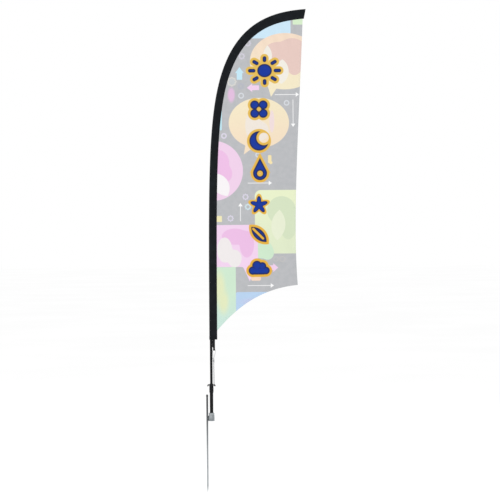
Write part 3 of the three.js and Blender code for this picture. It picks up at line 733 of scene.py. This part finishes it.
def large_marks(s):
    """Seven bold marks down the panel: sun, clover, crescent, drop, star, leaf and cloud."""
    rays = []
    for k in range(8):
        dx, dz = math.cos(k * math.pi / 4), math.sin(k * math.pi / 4)
        rays.append(s.line((384 + 70 * dx, 2240 + 66 * dz), (384 + 94 * dx, 2240 + 80 * dz), 12))
    sun = s.join(s.ellipse(384, 2240, 47, 43), *rays)
    clover = s.less(s.join(*(
        s.disc(346 + 27 * dx, 1994 + 27 * dz, 29) for dx, dz in ((1, 1), (-1, 1), (-1, -1), (1, -1))
    )), s.disc(346, 1994, 13))
    crescent = s.less(s.disc(345, 1791, 62), s.disc(376, 1811, 47))
    drop = s.less(
        s.join(s.disc(350, 1585, 45), s.polygon((350, 1684), (309, 1603), (391, 1603))),
        s.disc(350, 1583, 18))
    star = s.lobed(342, 1382, 42, 15, 5, -math.pi / 2)
    leaf = s.less(
        s.both(s.disc(297, 1150, 92), s.disc(383, 1236, 92)), s.line((304, 1229), (366, 1167), 7))
    cloud = s.join(
        s.disc(299, 962, 27), s.disc(326, 994, 31), s.disc(360, 990, 26), s.disc(383, 962, 25),
        s.box(292, 390, 936, 984, 22))
    marks = s.join(sun, clover, crescent, drop, star, leaf, cloud)
    s.layer(s.upward(900, 2300, "e7b13c", "e3bb55"), s.math("SUBTRACT", marks, 15.0), 2.5)
    s.layer("13214a", marks, 2.5)
    s.layer("04339a", s.math("ADD", marks, 8.0), 6.0)


def printed_cloth(name):
    """Knitted flag polyester: the print, its loops and a faint mottle of the dye."""
    s = Print(name)
    mottle = s.noise(34, 4)
    s.colour = s.fade(mottle, 0.3, 0.7, "b7b9bc", "bdbec1")
    pastel_shapes(s)
    small_marks(s)
    large_marks(s)
    knit = s.math("MULTIPLY", s.wave(s.place, 560, "X", 0.6), s.wave(s.place, 640, "Z", 0.6))
    colour = s.mix(s.math("MULTIPLY", knit, 0.04), s.colour, "8f9196")
    return s.finish(colour, s.spread(mottle, 0.3, 0.7, 0.74, 0.86), knit, 0.00012, 0.5)


FINISHES = {
    "galvanised_steel": zinc_plate("zinc_plate"),
    "turned_aluminium": turned_metal("turned_aluminium", "999ea1", "7f8487", 0.38, metallic=0.6),
    "bearing_steel": turned_metal("bearing_steel", "c8cbcf", "a2a6aa", 0.16),
    "black_aluminium": black_coat("black_powder_coat", "0c0d0f", "18191b", 0.46),
    "black_fibreglass": black_coat("black_fibreglass", "0b0c0d", "161718", 0.46, 2600),
    "black_plastic": black_coat("black_plastic", "0f1013", "1f2225", 0.5, 900),
    "grey_rubber": soft_rubber("grey_rubber"),
    "black_cloth": woven("black_cloth", "0d1013", "1b1f24", 520, 0.00018, 0.07),
    "printed_cloth": printed_cloth("printed_cloth"),
    "black_webbing": ribbed_webbing("black_webbing"),
    "white_elastic": braided_elastic("white_elastic"),
}
FLANGE_METAL = turned_metal("flange_aluminium", "a3a8aa", "8b9093", 0.36, metallic=0.6)
THREAD = woven("black_thread", "1c2024", "33383d", 1400, 0.0001)
GREY_THREAD = woven("grey_thread", "aeb0b4", "c9cacd", 1400, 0.0001)


def finish_cad_nodes():
    """Every carried-over CAD node takes the material of its slot."""
    for row in frame["record"]["subparts"]:
        data = frame["nodes"][row["node"]].data
        data.materials.clear()
        data.materials.append(FINISHES[row["material_slot"]])


# ---- Stage: camera, floor and lights ----

CENTRE = Vector((0.282, 0, 1.094))
FRAME_SIDE = 3.2
CAMERA_DISTANCE = 16.0
CAMERA_ELEVATION = math.radians(1.0)
CAMERA_ROLL = math.radians(0.45)


def add_camera():
    data = bpy.data.cameras.new("camera")
    data.sensor_width = 36
    data.lens = data.sensor_width * CAMERA_DISTANCE / FRAME_SIDE
    data.clip_end = 200
    camera = link("camera", data)
    back = Vector((0, -math.cos(CAMERA_ELEVATION), math.sin(CAMERA_ELEVATION)))
    camera.location = CENTRE + CAMERA_DISTANCE * back
    turn = (-back).to_track_quat("-Z", "Y").to_matrix().to_4x4()
    roll = Matrix.Rotation(-CAMERA_ROLL, 4, "Z")
    camera.matrix_world = Matrix.Translation(camera.location) @ turn @ roll
    bpy.context.scene.camera = camera


def add_light(name, place, size, power):
    data = bpy.data.lights.new(name, "AREA")
    data.shape = "DISK"
    data.size = size
    data.energy = power
    light = link(name, data)
    light.location = place
    light.rotation_euler = (CENTRE - Vector(place)).to_track_quat("-Z", "Y").to_euler()


def add_stage():
    s = Surface("studio_floor", specular=0.0)
    floor_paint = s.finish(s.fade(s.noise(0.6, 2), 0.3, 0.7, "fdfdfd", "ffffff"), 0.9)
    low = CAD_BOX[0][2] - 0.002
    half = 60.0
    mesh = bpy.data.meshes.new("floor")
    corners = [(half * x, half * y, low) for x, y in ((-1, -1), (1, -1), (1, 1), (-1, 1))]
    mesh.from_pydata(corners, [], [(0, 1, 2, 3)])
    mesh.materials.append(floor_paint)
    link("floor", mesh)

    world = bpy.data.worlds.new("studio")
    world.use_nodes = True
    background = world.node_tree.nodes["Background"]
    background.inputs["Color"].default_value = (1, 1, 1, 1)
    background.inputs["Strength"].default_value = 1.0
    bpy.context.scene.world = world
    bpy.context.scene.view_settings.view_transform = "Standard"
    add_light("key", (-3.5, -5.0, 4.5), 2.0, 150)
    add_light("rim", (4.0, 3.0, 3.5), 2.0, 80)


# ---- Ground anchor ----


def spike():
    """Bar with a blunt point and a necked top, and the rubber cap on that."""
    low, top = heights("spike_rod")
    turned("spike_rod", [
        (0, low), (0.8, low), (1.6, low + 6), (6, low + 50), (6, low + 120), (6, 60), (6, 149),
        (5, 150), (5, top), (0, top),
    ], x=0, edge=1.2)
    turned("spike_cap", [
        (5.3, 152), (6.5, 152), (6.5, 154.5), (6.1, 155), (6.1, 156.2), (6.5, 156.8), (6.5, 165),
        (5.9, 168.2), (4.0, 170), (0, 170), (0, 167), (5.3, 167),
    ], x=0, edge=0.6)


def weld_bead(path, radius, seed):
    """A tube of overlapping ripples along the path."""
    steps = np.arange(len(path))
    swell = 1 + 0.16 * np.abs(np.sin(steps * 0.9 + seed)) + 0.06 * np.sin(steps * 0.37 + 2 * seed)
    return tube(path, radius * swell, 10)


def web():
    """The block between bar and housing, with a weld bead down each of its four corners."""
    low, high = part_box("spike_web")
    left, right = low[0] - 1.5 * MM, high[0] + 0.6 * MM
    half = high[1] - 0.2 * MM
    bottom, top = low[2], high[2]
    edge = 1.0 * MM
    middle = np.array([(left + right) / 2, 0])
    size = np.array([(right - left) / 2, half])
    section = []
    for sides, start in (((1, 1), 0), ((-1, 1), 90), ((-1, -1), 180), ((1, -1), 270)):
        for turn in np.radians(start + 22.5 * np.arange(5)):
            corner = np.array((math.cos(turn), math.sin(turn)))
            section.append(sides * (size - edge) + edge * corner)
    levels = [(bottom, edge), (bottom + 0.3 * edge, 0.3 * edge), (bottom + edge, 0)]
    levels += [(top - edge, 0), (top - 0.3 * edge, 0.3 * edge), (top, edge)]
    block = [(*(middle + point * (1 - inset / size)), z)
             for z, inset in levels for point in section]
    parts = [(block, tube_faces(len(levels), len(section)))]
    steps = 60
    z = np.linspace(bottom + 1.2 * MM, top - 1.2 * MM, steps)
    for i, (x, side) in enumerate([(4.6, 1), (4.6, -1), (11.6, 1), (11.6, -1)]):
        wander = 0.12 * np.sin(np.arange(steps) * 0.7 + i)
        y = np.full(steps, side * (half + 0.1 * MM))
        parts.append(weld_bead(np.stack([(x + wander) * MM, y, z], axis=1), 0.75 * MM, i))
    make("spike_web", merged(*parts))


def housing():
    turned("bearing_housing", [
        (16.3, 0), (17.5, 0), (19, 1.5), (19, 7.6), (18.5, 8.1), (18.5, 9.3), (19, 9.8),
        (19, 27.2), (18.5, 27.7), (18.5, 28.9), (19, 29.4), (19, 35), (17.5, 36.5), (14.3, 36.5),
        (14.3, 35.4), (15.1, 35.4), (15.1, 33.6), (14.3, 33.6), (14.3, 25.3), (11.5, 25.3),
        (11.5, 20.3), (14.3, 20.3), (14.3, 3), (16.3, 3),
    ], edge=0.35, segments=96)
    turned("housing_plug", [
        (0, 0.6), (3, 0.6), (3.8, 0), (16, 0), (16, 2.7), (14, 2.7), (14, 11.7), (12.5, 11.7),
        (12.5, 2.7), (0, 2.7),
    ])
    turned("retaining_ring", [(11.8, 33.9), (14.8, 33.9), (14.8, 35.1), (11.8, 35.1)], edge=0.2)


# ---- Bearings and spindle ----

BALLS = 7
BALL_CIRCLE = 10.0  # its radius in millimetres


def race_profile(side, wall):
    """A race's section about its balls' height: side is 1 for an outer race, -1 for an inner."""
    groove, land_depth, half_width = 2.6, 1.3, 4
    reach = math.acos(land_depth / groove)
    land = BALL_CIRCLE + side * land_depth
    points = [(land, -half_width)]
    for angle in np.linspace(-reach, reach, 9):
        points.append((BALL_CIRCLE + side * groove * math.cos(angle), groove * math.sin(angle)))
    points += [(land, half_width), (wall, half_width), (wall, -half_width)]
    return points[::-1] if side > 0 else points


def cage(name, height):
    """Moulded ring that dips where it holds each ball."""
    segments, levels = 140, 8
    half_wall, half_height, dip = 0.85, 3.2, 5.6
    vertices = []
    for k, (cosine, sine) in enumerate(circle(segments)):
        near_ball = 0.5 + 0.5 * math.cos(BALLS * 2 * math.pi * k / segments)
        top = half_height - dip * smooth(near_ball, 0.45, 0.98)
        rise = np.linspace(-half_height, top, levels)
        for side, column in ((-1, rise), (1, rise[::-1])):
            radius = (BALL_CIRCLE + side * half_wall) * MM
            vertices += [(POLE_X + radius * cosine, radius * sine, height + z * MM) for z in column]
    make(name, (vertices, ring_faces(segments, 2 * levels)))


def ball(name):
    """A ground ball, where the CAD model's faceted one is."""
    low, high = (Vector(corner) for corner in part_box(name))
    radius = (high[2] - low[2]) / 2 / MM
    angles = np.linspace(-math.pi / 2, math.pi / 2, 17)[1:-1]
    side = [(radius * math.cos(a), radius * math.sin(a)) for a in angles]
    obj = turned(name, [(0, -radius), *side, (0, radius)], x=0, edge=0, segments=32, ride=False)
    obj.location = (low + high) / 2
    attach(obj, "bearing_cages")


def bearings():
    for name in ("lower", "upper"):
        height = middle_height(name + "_outer_race")
        turned(name + "_outer_race", race_profile(1, 14.0), base=height, edge=0.25)
        turned(name + "_inner_race", race_profile(-1, 6.3), base=height, edge=0.25)
        cage(name + "_cage", height)
        for i in range(BALLS):
            ball(f"{name}_ball_{i + 1}")


def spindle():
    """Threaded shaft and washer, the flange that the tube stands on, and the adapter that it slides
    over, with two O-rings in its grooves."""
    bottom, top = heights("spindle_shaft")
    nut_bottom, nut_top = heights("spindle_nut")
    pitch = 0.36
    thread = []
    for height in np.arange(bottom + 0.5, nut_bottom - 0.1, pitch):
        thread += [(4.7, height), (4.35, height + pitch / 2)]
    turned("spindle_shaft", [
        (0, bottom), (4.4, bottom), *thread, (4.7, nut_bottom), (4.7, nut_top + 0.3),
        (6, nut_top + 0.3), (6, top - 1.5), (4.5, top), (0, top),
    ], edge=0.15)
    turned("spindle_flange", [
        (6.3, 33.9), (8.2, 33.9), (8.2, 37), (18, 37), (18, 40.4), (17.4, 41), (17.4, 42.2),
        (18, 42.8), (18, 50.5), (16, 52.5), (6.3, 52.5),
    ], edge=0.35, segments=96, material=FLANGE_METAL)
    bottom, top = heights("spindle_washer")
    turned("spindle_washer", [(6.3, bottom), (9, bottom), (9, top), (6.3, top)], edge=0.2)
    grooves = []
    for low, high in ((71.15, 72.85), (127.15, 128.85)):
        grooves += [(9.5, low), (7.8, low), (7.8, high), (9.5, high)]
    turned("pole_adapter", [
        (6.3, 52.8), (9.5, 52.8), *grooves, (9.5, 147.7), (8.5, 149.2), (6.3, 149.2),
    ])
    for name in ("lower_o_ring", "upper_o_ring"):
        low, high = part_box(name)
        thick = (high[2] - low[2]) / 2 / MM
        middle = (high[0] - low[0]) / 2 / MM - thick
        section = [(middle + thick * cosine, thick * sine) for cosine, sine in circle(12)]
        turned(name, section, base=middle_height(name), edge=0.05)


# ---- Lower tube, collar and hook ----


def lower_pole():
    turned("tube_foot", [(9.8, 52.8), (11.8, 52.8), (11.8, 56.8), (9.8, 56.8)], edge=0.6)
    turned("lower_tube", [(9.8, 57.1), (11, 57.1), (11, 236), (9.8, 236)], segments=96)
    turned("tube_collar", [
        (11.3, 182), (12.6, 182), (13.5, 184.5), (13.5, 188), (13.0, 188.6), (13.0, 190.4),
        (13.5, 191), (13.5, 204.6), (13.0, 205.2), (13.0, 207), (13.5, 207.6), (13.5, 212.7),
        (12.6, 213.7), (11.3, 213.7),
    ], edge=0.4)
    turned("pole_bush", [
        (0, 150.6), (9.5, 150.6), (9.5, 236.3), (11, 236.3), (11, 238.2), (10, 239.3),
        (8.3, 239.3), (8.3, 152.6), (0, 152.6),
    ], edge=0.4)


# One horn's middle line in millimetres: how far from the pole's axis, and the height
HORN_ROUTE = ((12.3, 231.6), (17.4, 232.1), (20.4, 231.2), (22.4, 228.6), (22.4, 225.6))


def hook():
    """Band with two horns, and the ribs that climb round it from horn to horn, melted into one
    moulding by a fine remesh."""
    bottom, top = (corner[2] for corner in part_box("hook_collar"))
    inner, outer = 11.35 * MM, 13.1 * MM
    segments = 72
    profile = [(inner, bottom), (outer, bottom), (outer, top), (inner, top)]
    band = [(POLE_X + r * cosine, r * sine, z)
            for r, z in profile for cosine, sine in circle(segments)]
    parts = [(band, ring_faces(len(profile), segments))]
    for side in (1, -1):
        route = spline([(POLE_X + side * x * MM, 0, z * MM) for x, z in HORN_ROUTE], 6)
        taper = np.interp(np.linspace(0, 1, len(route)), [0, 0.25, 1], [1.0, 0.98, 1.0])
        parts.append(tube(route, 3.85 * MM * taper))
    share = np.linspace(0, 1, 30)
    for turn in (0.0, math.pi):
        for lift in (3.0, 8.2):
            angle = turn + math.pi * (1 - share)
            z = bottom + (lift + 11.5 * share) * MM
            rib = np.stack([POLE_X + outer * np.cos(angle), outer * np.sin(angle), z], axis=1)
            parts.append(tube(rib, 0.8 * MM, 8))
    obj = make("hook_collar", merged(*parts), ride=False)
    remesh = obj.modifiers.new("melt", "REMESH")
    remesh.mode = "VOXEL"
    remesh.voxel_size = 0.55 * MM
    relax = obj.modifiers.new("relax", "SMOOTH")
    relax.factor = 0.5
    relax.iterations = 3
    graph = bpy.context.evaluated_depsgraph_get()
    mesh = bpy.data.meshes.new_from_object(obj.evaluated_get(graph))
    obj.modifiers.clear()
    obj.data = mesh
    mesh.shade_smooth()
    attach(obj, "lower_pole")


def grub_screw():
    """The socket screw that clamps the hook's band."""
    (_, tip, _), (_, head, _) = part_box("hook_grub_screw")
    z = middle_height("hook_grub_screw")
    around = 24
    rings = [(1.1, head - 0.9 * MM), (1.1, head), (1.8, head), (2.0, head - 0.2 * MM), (2.0, tip)]
    vertices = [(POLE_X + r * MM * cosine, y, z + r * MM * sine)
                for r, y in rings for cosine, sine in circle(around)]
    make("hook_grub_screw", (vertices, tube_faces(len(rings), around)))


# ---- Pole ----


def middle_pole():
    """The middle pole as one fine tube that follows the bend, open at both ends."""
    levels = np.concatenate([
        np.linspace(MID_POLE_BOTTOM, SLEEVE_BOTTOM, 24),
        np.linspace(SLEEVE_BOTTOM, MID_POLE_TOP, 40)[1:],
    ])
    around = 48
    cosine, sine = np.array(circle(around)).T
    walls = ((MID_POLE_RADIUS, levels), (MID_POLE_RADIUS - MID_POLE_WALL, levels[::-1]))
    rings = [sail_point(s, nose_at(s) + radius * cosine, radius * sine)
             for radius, rows in walls for s in rows]
    make("mid_pole", (np.concatenate(rings), ring_faces(len(rings), around)))


# ---- Sleeve ----


def sleeve_section(s, shrink, seam_end):
    """One ring of the sleeve, in u and v, with small drapes between the pole and the seam."""
    radius = nose_at(s) - shrink
    tail = width_at(s) - seam_end
    half = max(TAIL_HALF - shrink, 0.00012)
    seam = width_at(s) - TAIL_SEAM
    leave = math.acos(min(1, (radius - half) / (seam - nose_at(s))))
    nose_angles = np.linspace(leave, 2 * math.pi - leave, 30)
    u = nose_at(s) + radius * np.cos(nose_angles)
    v = radius * np.sin(nose_angles)
    share = np.linspace(0, 1, 15)[1:]
    side_u = u[-1] + (seam - u[-1]) * share
    side_v = half + (abs(v[-1]) - half) * (1 - share) ** 1.25
    bend = float(smooth(s, 2.30, 2.55))
    back_v, front_v = (
        side_v + np.sin(math.pi * share) * (
            0.00030 * np.sin(2 * math.pi * (s / 0.118 + 0.8 * share) + phase)
            + 0.00022 * np.sin(2 * math.pi * (s / 0.287 - 0.5 * share) + 2 * phase)
            + 0.00055 * bend * share * np.sin(2 * math.pi * s / 0.021 + phase))
        for phase in (0.0, 1.9)
    )
    flat_u = seam + (tail - seam) * np.array([0.35, 0.5, 0.65, 1.0])
    flat_v = half * np.array([1.0, 1.0, 1.0, 0.7])
    ring_u = np.concatenate([u, side_u, flat_u, flat_u[::-1], side_u[::-1]])
    ring_v = np.concatenate([v, -front_v, -flat_v, flat_v[::-1], back_v[::-1]])
    return ring_u, ring_v


def sleeve_ring(s, shrink, seam_end):
    u, v = sleeve_section(s, shrink, seam_end)
    return sail_point(s - slant_at(s) * u / width_at(s), u, v)


def sleeve():
    """The pole sleeve as a thin shell: open and hemmed at the bottom, sewn shut at the tip."""
    hem_top = SLEEVE_BOTTOM + 0.022
    hem_step = 0.0012
    outer_levels = np.concatenate([
        [SLEEVE_BOTTOM], np.linspace(SLEEVE_BOTTOM + 0.0008, hem_top, 8),
        np.arange(hem_top + hem_step, SLEEVE_TOP - 0.002, 0.0045),
        [SLEEVE_TOP - 0.0015, SLEEVE_TOP],
    ])
    outer = []
    for s in outer_levels:
        proud = SLEEVE_HEM * (1 - smooth(s, hem_top, hem_top + hem_step)) * smooth(
            s, SLEEVE_BOTTOM - 0.001, SLEEVE_BOTTOM + 0.0008)
        tuck = 0.0006 * smooth(s, SLEEVE_TOP - 0.003, SLEEVE_TOP)
        outer.append(sleeve_ring(s, tuck - proud, 0.0))
    inner_levels = np.arange(SLEEVE_BOTTOM, SLEEVE_TOP - TIP_SEAM, 0.012)
    inner = [sleeve_ring(s, SLEEVE_WALL, 0.0042) for s in inner_levels]
    rings = inner[::-1] + outer
    faces = tube_faces(len(rings), len(outer[0]))
    obj = make("pole_sleeve", (np.concatenate(rings), faces), sharp=60)


# ---- Panel ----


def panel_rows():
    """Heights of the panel's rows: close together where its edges run flat."""
    closest = 0.0006
    along_tail = tail_line(np.arange(PANEL_BOTTOM, PANEL_TOP, 0.0075))[:, 1]
    kept = [TAIL[0][1] + closest]
    for z in np.sort(np.concatenate([along_tail, HEM[::2, 1]])):
        if z - kept[-1] > closest and z < TAIL[-1][1] - 0.0004:
            kept.append(z)
    return np.array(kept)


def panel():
    """The panel as a thin closed cloth between the sleeve's seam, the hem and the fly edge."""
    rows = panel_rows()
    seam = tail_line(np.arange(PANEL_BOTTOM, PANEL_TOP + 0.0005, 0.001), 0.0022)
    left = np.interp(rows, seam[:, 1], seam[:, 0])
    right = np.interp(rows, FREE_EDGE[:, 1], FREE_EDGE[:, 0])
    columns = 96
    x = left[:, None] + np.maximum(right - left, 0.0004)[:, None] * np.linspace(0, 1, columns)
    z = np.repeat(rows[:, None], columns, axis=1)
    middle = billow(x, z)
    front, back = (np.stack([x, middle + side * CLOTH_HALF, z], axis=-1) for side in (-1, 1))
    vertices = np.concatenate([front, back[:, ::-1]], axis=1).reshape(-1, 3)
    around = 2 * columns
    faces = grid_faces(len(rows), around, wrap=True)
    last = len(vertices) - around
    for j in range(columns - 1):
        end = (j, j + 1, around - 2 - j, around - 1 - j)
        faces += [end[::-1], tuple(last + i for i in end)]
    return make("flag_panel", (vertices, faces), sharp=60)


TURNED_EDGES = ((HEM, HEM_HALF), (FLY, FLY_HEM_HALF))


def edge_points(edge, step):
    """Even points along an edge of the panel, the directions along and into the panel, and how far
    each point is along it."""
    lengths = run_length(edge)
    at = np.linspace(0.0008, lengths[-1] - 0.0008, int(lengths[-1] / step))
    points = resampled(edge, lengths, at)
    tangents = directions(points)
    inward = np.stack([-tangents[:, 1], tangents[:, 0]], axis=1)
    return points, tangents, inward, at


def hem_band():
    """The turned-over edges of the panel, a little thicker than the cloth and rounded at their
    folds. The fly's is folded over the hem's at the corner."""
    half_profile = [(0.05, 0.6), (0.14, 1.0), (0.5, 1.0), (0.95, 1.0), (1.0, 0.5)]
    profile = [(0.0, 0.0), *half_profile, *((share, -side) for share, side in half_profile[::-1])]
    parts = []
    for edge, half in TURNED_EDGES:
        points, _, inward, at = edge_points(edge, 0.004)
        to_sleeve = at if edge is HEM else at[-1] - at
        width = HEM_WIDTH * smooth(to_sleeve, 0, 0.03) + 0.0012
        columns = []
        for share, side in profile:
            x, z = (points + inward * (share * width)[:, None]).T
            columns.append(np.stack([x, billow(x, z) + side * half, z], axis=1))
        vertices = np.stack(columns, axis=1).reshape(-1, 3)
        parts.append((vertices, tube_faces(len(points), len(profile))))
    return make("panel_hem", merged(*parts), like="flag_panel", sharp=60)


# ---- Stitches ----

# One stitch: corners along it, across it and out of the cloth, then its faces
STITCH_CORNERS = ((-0.5, 0, 0), (-0.25, 0.5, 0.2), (-0.25, -0.5, 0.2), (-0.1, 0, 0.7),
                  (0.1, 0, 0.7), (0.25, 0.5, 0.2), (0.25, -0.5, 0.2), (0.5, 0, 0), (0, 0, -0.4))
STITCH_FACES = ((0, 3, 1), (0, 2, 3), (1, 3, 4, 5), (2, 6, 4, 3), (7, 5, 4), (7, 4, 6),
                (0, 1, 8), (0, 8, 2), (1, 5, 8), (2, 8, 6), (7, 8, 5), (7, 6, 8))


def stitches(name, rows, like, thread, length=0.0026, thick=0.00042):
    """Small rounded stitches. Each row is (points, tangents, out of the cloth), one stitch to a
    point. The last may be one direction for the whole row."""
    vertices, faces = [], []
    for points, tangents, normals in rows:
        normals = np.broadcast_to(normals, points.shape)
        for p, t, n in zip(points, tangents, normals):
            start = len(vertices)
            across = np.cross(n, t)
            vertices += [p + t * x * length + across * y * thick + n * z * thick
                         for x, y, z in STITCH_CORNERS]
            faces += [tuple(start + i for i in face) for face in STITCH_FACES]
    return make(name, (vertices, faces), like=like, material=thread, sharp=80)


def sleeve_stitches():
    """Two rows down each face of the sleeve's seam, and one round its bottom hem."""
    step = 0.0038
    rows = []
    s = np.arange(PANEL_BOTTOM + 0.004, SLEEVE_TOP - 0.012, step)
    for inset in (0.0014, 0.0038):
        for side in (1.0, -1.0):
            u = width_at(s) - inset
            points = sail_point(s - slant_at(s) * u / width_at(s), u, side * (TAIL_HALF + 0.00002))
            rows.append((points, directions(points), (0.0, side, 0.0)))
    height = SLEEVE_BOTTOM + 0.0185
    ring = sail_point(height, *sleeve_section(height, -SLEEVE_HEM, 0.0))
    ring = np.concatenate([ring, ring[:1]])
    lengths = run_length(ring)
    points = resampled(ring, lengths, np.arange(0.001, lengths[-1], step))
    tangents = directions(points)
    normals = np.cross(tangents, (0.0, 0.0, 1.0))
    outward = ((points - sail_point(height, nose_at(height), 0)) * normals).sum(1)
    rows.append((points, tangents, normals * np.where(outward < 0, -1, 1)[:, None]))
    stitches("sleeve_stitches", rows, "pole_sleeve", THREAD)


def panel_stitches():
    """Two rows along each turned edge of the panel, on both faces."""
    step = 0.0040
    rows = []
    for edge, half in TURNED_EDGES:
        points, tangents, inward, _ = edge_points(edge, step)
        sewn = slice(8, -5) if edge is HEM else slice(1, -8)
        points, tangents, inward = points[sewn], tangents[sewn], inward[sewn]
        for inset in (0.0028, 0.0112):
            x, z = (points + inward * inset).T
            middle = billow(x, z)
            for side in (1.0, -1.0):
                y = middle + side * (half + 0.00008)
                along = np.stack([tangents[:, 0], np.gradient(y) / step, tangents[:, 1]], axis=1)
                along /= np.linalg.norm(along, axis=1)[:, None]
                rows.append((np.stack([x, y, z], axis=1), along, (0.0, side, 0.0)))
    return stitches("panel_stitches", rows, "flag_panel", GREY_THREAD)


def flag_cloth():
    """The panel with its hems and all the stitches of the sail."""
    cloth = panel()
    hem = hem_band()
    sleeve_stitches()
    sewn = panel_stitches()


# ---- Tab, elastic and knot ----

PLY = 0.0013  # the webbing's thickness
TAB_FLARE = 0.0044  # how far it widens towards the pole above the eye


def tab():
    """Folded webbing: two plies sewn into the sleeve, that narrow and part round the elastic."""
    low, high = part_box("webbing_tab")
    eye_low, eye_high, flare_low = 0.4545, 0.4595, 0.4665
    eye = 0.0019 + PLY / 2 + 0.0001
    half_gap = PLY / 2 + 0.00006
    side = [(half_gap, high[2] - 0.001), (half_gap, 0.520), (half_gap, 0.470), (0.0013, flare_low),
            (eye, eye_high)]
    arc = [(eye * math.cos(a), eye_low - eye * math.sin(a)) for a in np.linspace(0, math.pi, 13)]
    line = side + arc + [(-y, z) for y, z in reversed(side)]
    centre = spline([(0, y, z) for y, z in line], 5)
    columns = 15
    rib = PLY / 2 - 0.0001 + 0.00007 * np.cos(np.arange(columns) * math.pi)
    rings = []
    for (_, y, z), (_, ty, tz) in zip(centre, directions(centre)):
        left = low[0] + 0.0001 - TAB_FLARE * smooth(z, flare_low, 0.477)
        xs = np.linspace(left, high[0] - 0.0001, columns)
        section = [*zip(xs, rib), *zip(xs[::-1], -rib[::-1])]
        rings += [(x, y - tz * w, z + ty * w) for x, w in section]
    obj = make("webbing_tab", (rings, tube_faces(len(centre), 2 * columns)), sharp=50)

    inset, bottom, top = 0.0022, 0.4785, 0.4920
    left, right = low[0] + inset - TAB_FLARE, high[0] - inset
    a, b, c, d = np.array([(left, bottom), (right, bottom), (right, top), (left, top)])
    sewn = []
    for start, end in ((a, b), (b, c), (c, d), (d, a), (a, c), (b, d)):
        length = np.linalg.norm(end - start)
        count = max(3, int(length / 0.0026))
        along = (end - start) / length
        x, z = (start + (end - start) * ((np.arange(count) + 0.5) / count)[:, None]).T
        tangents = np.tile((along[0], 0, along[1]), (count, 1))
        for face in (1.0, -1.0):
            y = np.full(count, face * (half_gap + PLY / 2 - 0.00005))
            sewn.append((np.stack([x, y, z], axis=1), tangents, (0.0, face, 0.0)))
    stitches("tab_stitches", sewn, "webbing_tab", THREAD, 0.0021, 0.0005)


def wrapped_knot(low, high):
    """Turns of cord in the box between two corners, and the cord's two short ends."""
    turns, strand = 5.4, 0.00145
    centre_x = (low[0] + high[0]) / 2
    share = np.linspace(0, 1, 260)
    angle = 2 * math.pi * turns * share
    squeeze = 0.90 + 0.10 * np.sin(math.pi * share)
    rx = ((high[0] - low[0]) / 2 - strand) * squeeze
    ry = ((high[1] - low[1]) / 2 - strand) * squeeze
    z = low[2] + strand + (high[2] - low[2] - 2 * strand) * share
    wraps = np.stack([centre_x + rx * np.cos(angle), ry * np.sin(angle), z], axis=1)
    start, end = wraps[0], wraps[-1]
    below = [
        (centre_x + 0.0010, 0.0064, start[2] - 0.0105),
        (centre_x + 0.0034, 0.0058, start[2] - 0.0045),
        start + (0.0003, -0.0012, -0.0002), start,
    ]
    above = [
        end, end + (-0.0005, 0.0012, 0.0004),
        (centre_x - 0.0052, -0.0058, end[2] + 0.0040),
        (centre_x - 0.0060, -0.0064, end[2] + 0.0090),
    ]
    ends = [tube(spline(points, 10), strand * 0.96, 12) for points in (below, above)]
    return merged(tube(wraps, strand, 14), *ends)


def elastic():
    """The elastic loop and its knot. The loop stretches between the hook and the flag."""
    path = spline(np.array(ELASTIC_ROUTE) * MM, 14)
    loop = make("elastic_loop", tube(path, ELASTIC_RADIUS), ride=False, sharp=60)
    low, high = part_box("elastic_knot")
    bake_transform(loop)
    knot = make("elastic_knot", wrapped_knot(low, high), sharp=60)


# ---- Everything in order ----

add_camera()
elastic()
finish_cad_nodes()
add_stage()
spike()
web()
housing()
bearings()
spindle()
lower_pole()
hook()
grub_screw()
middle_pole()
sleeve()
flag_cloth()
tab()
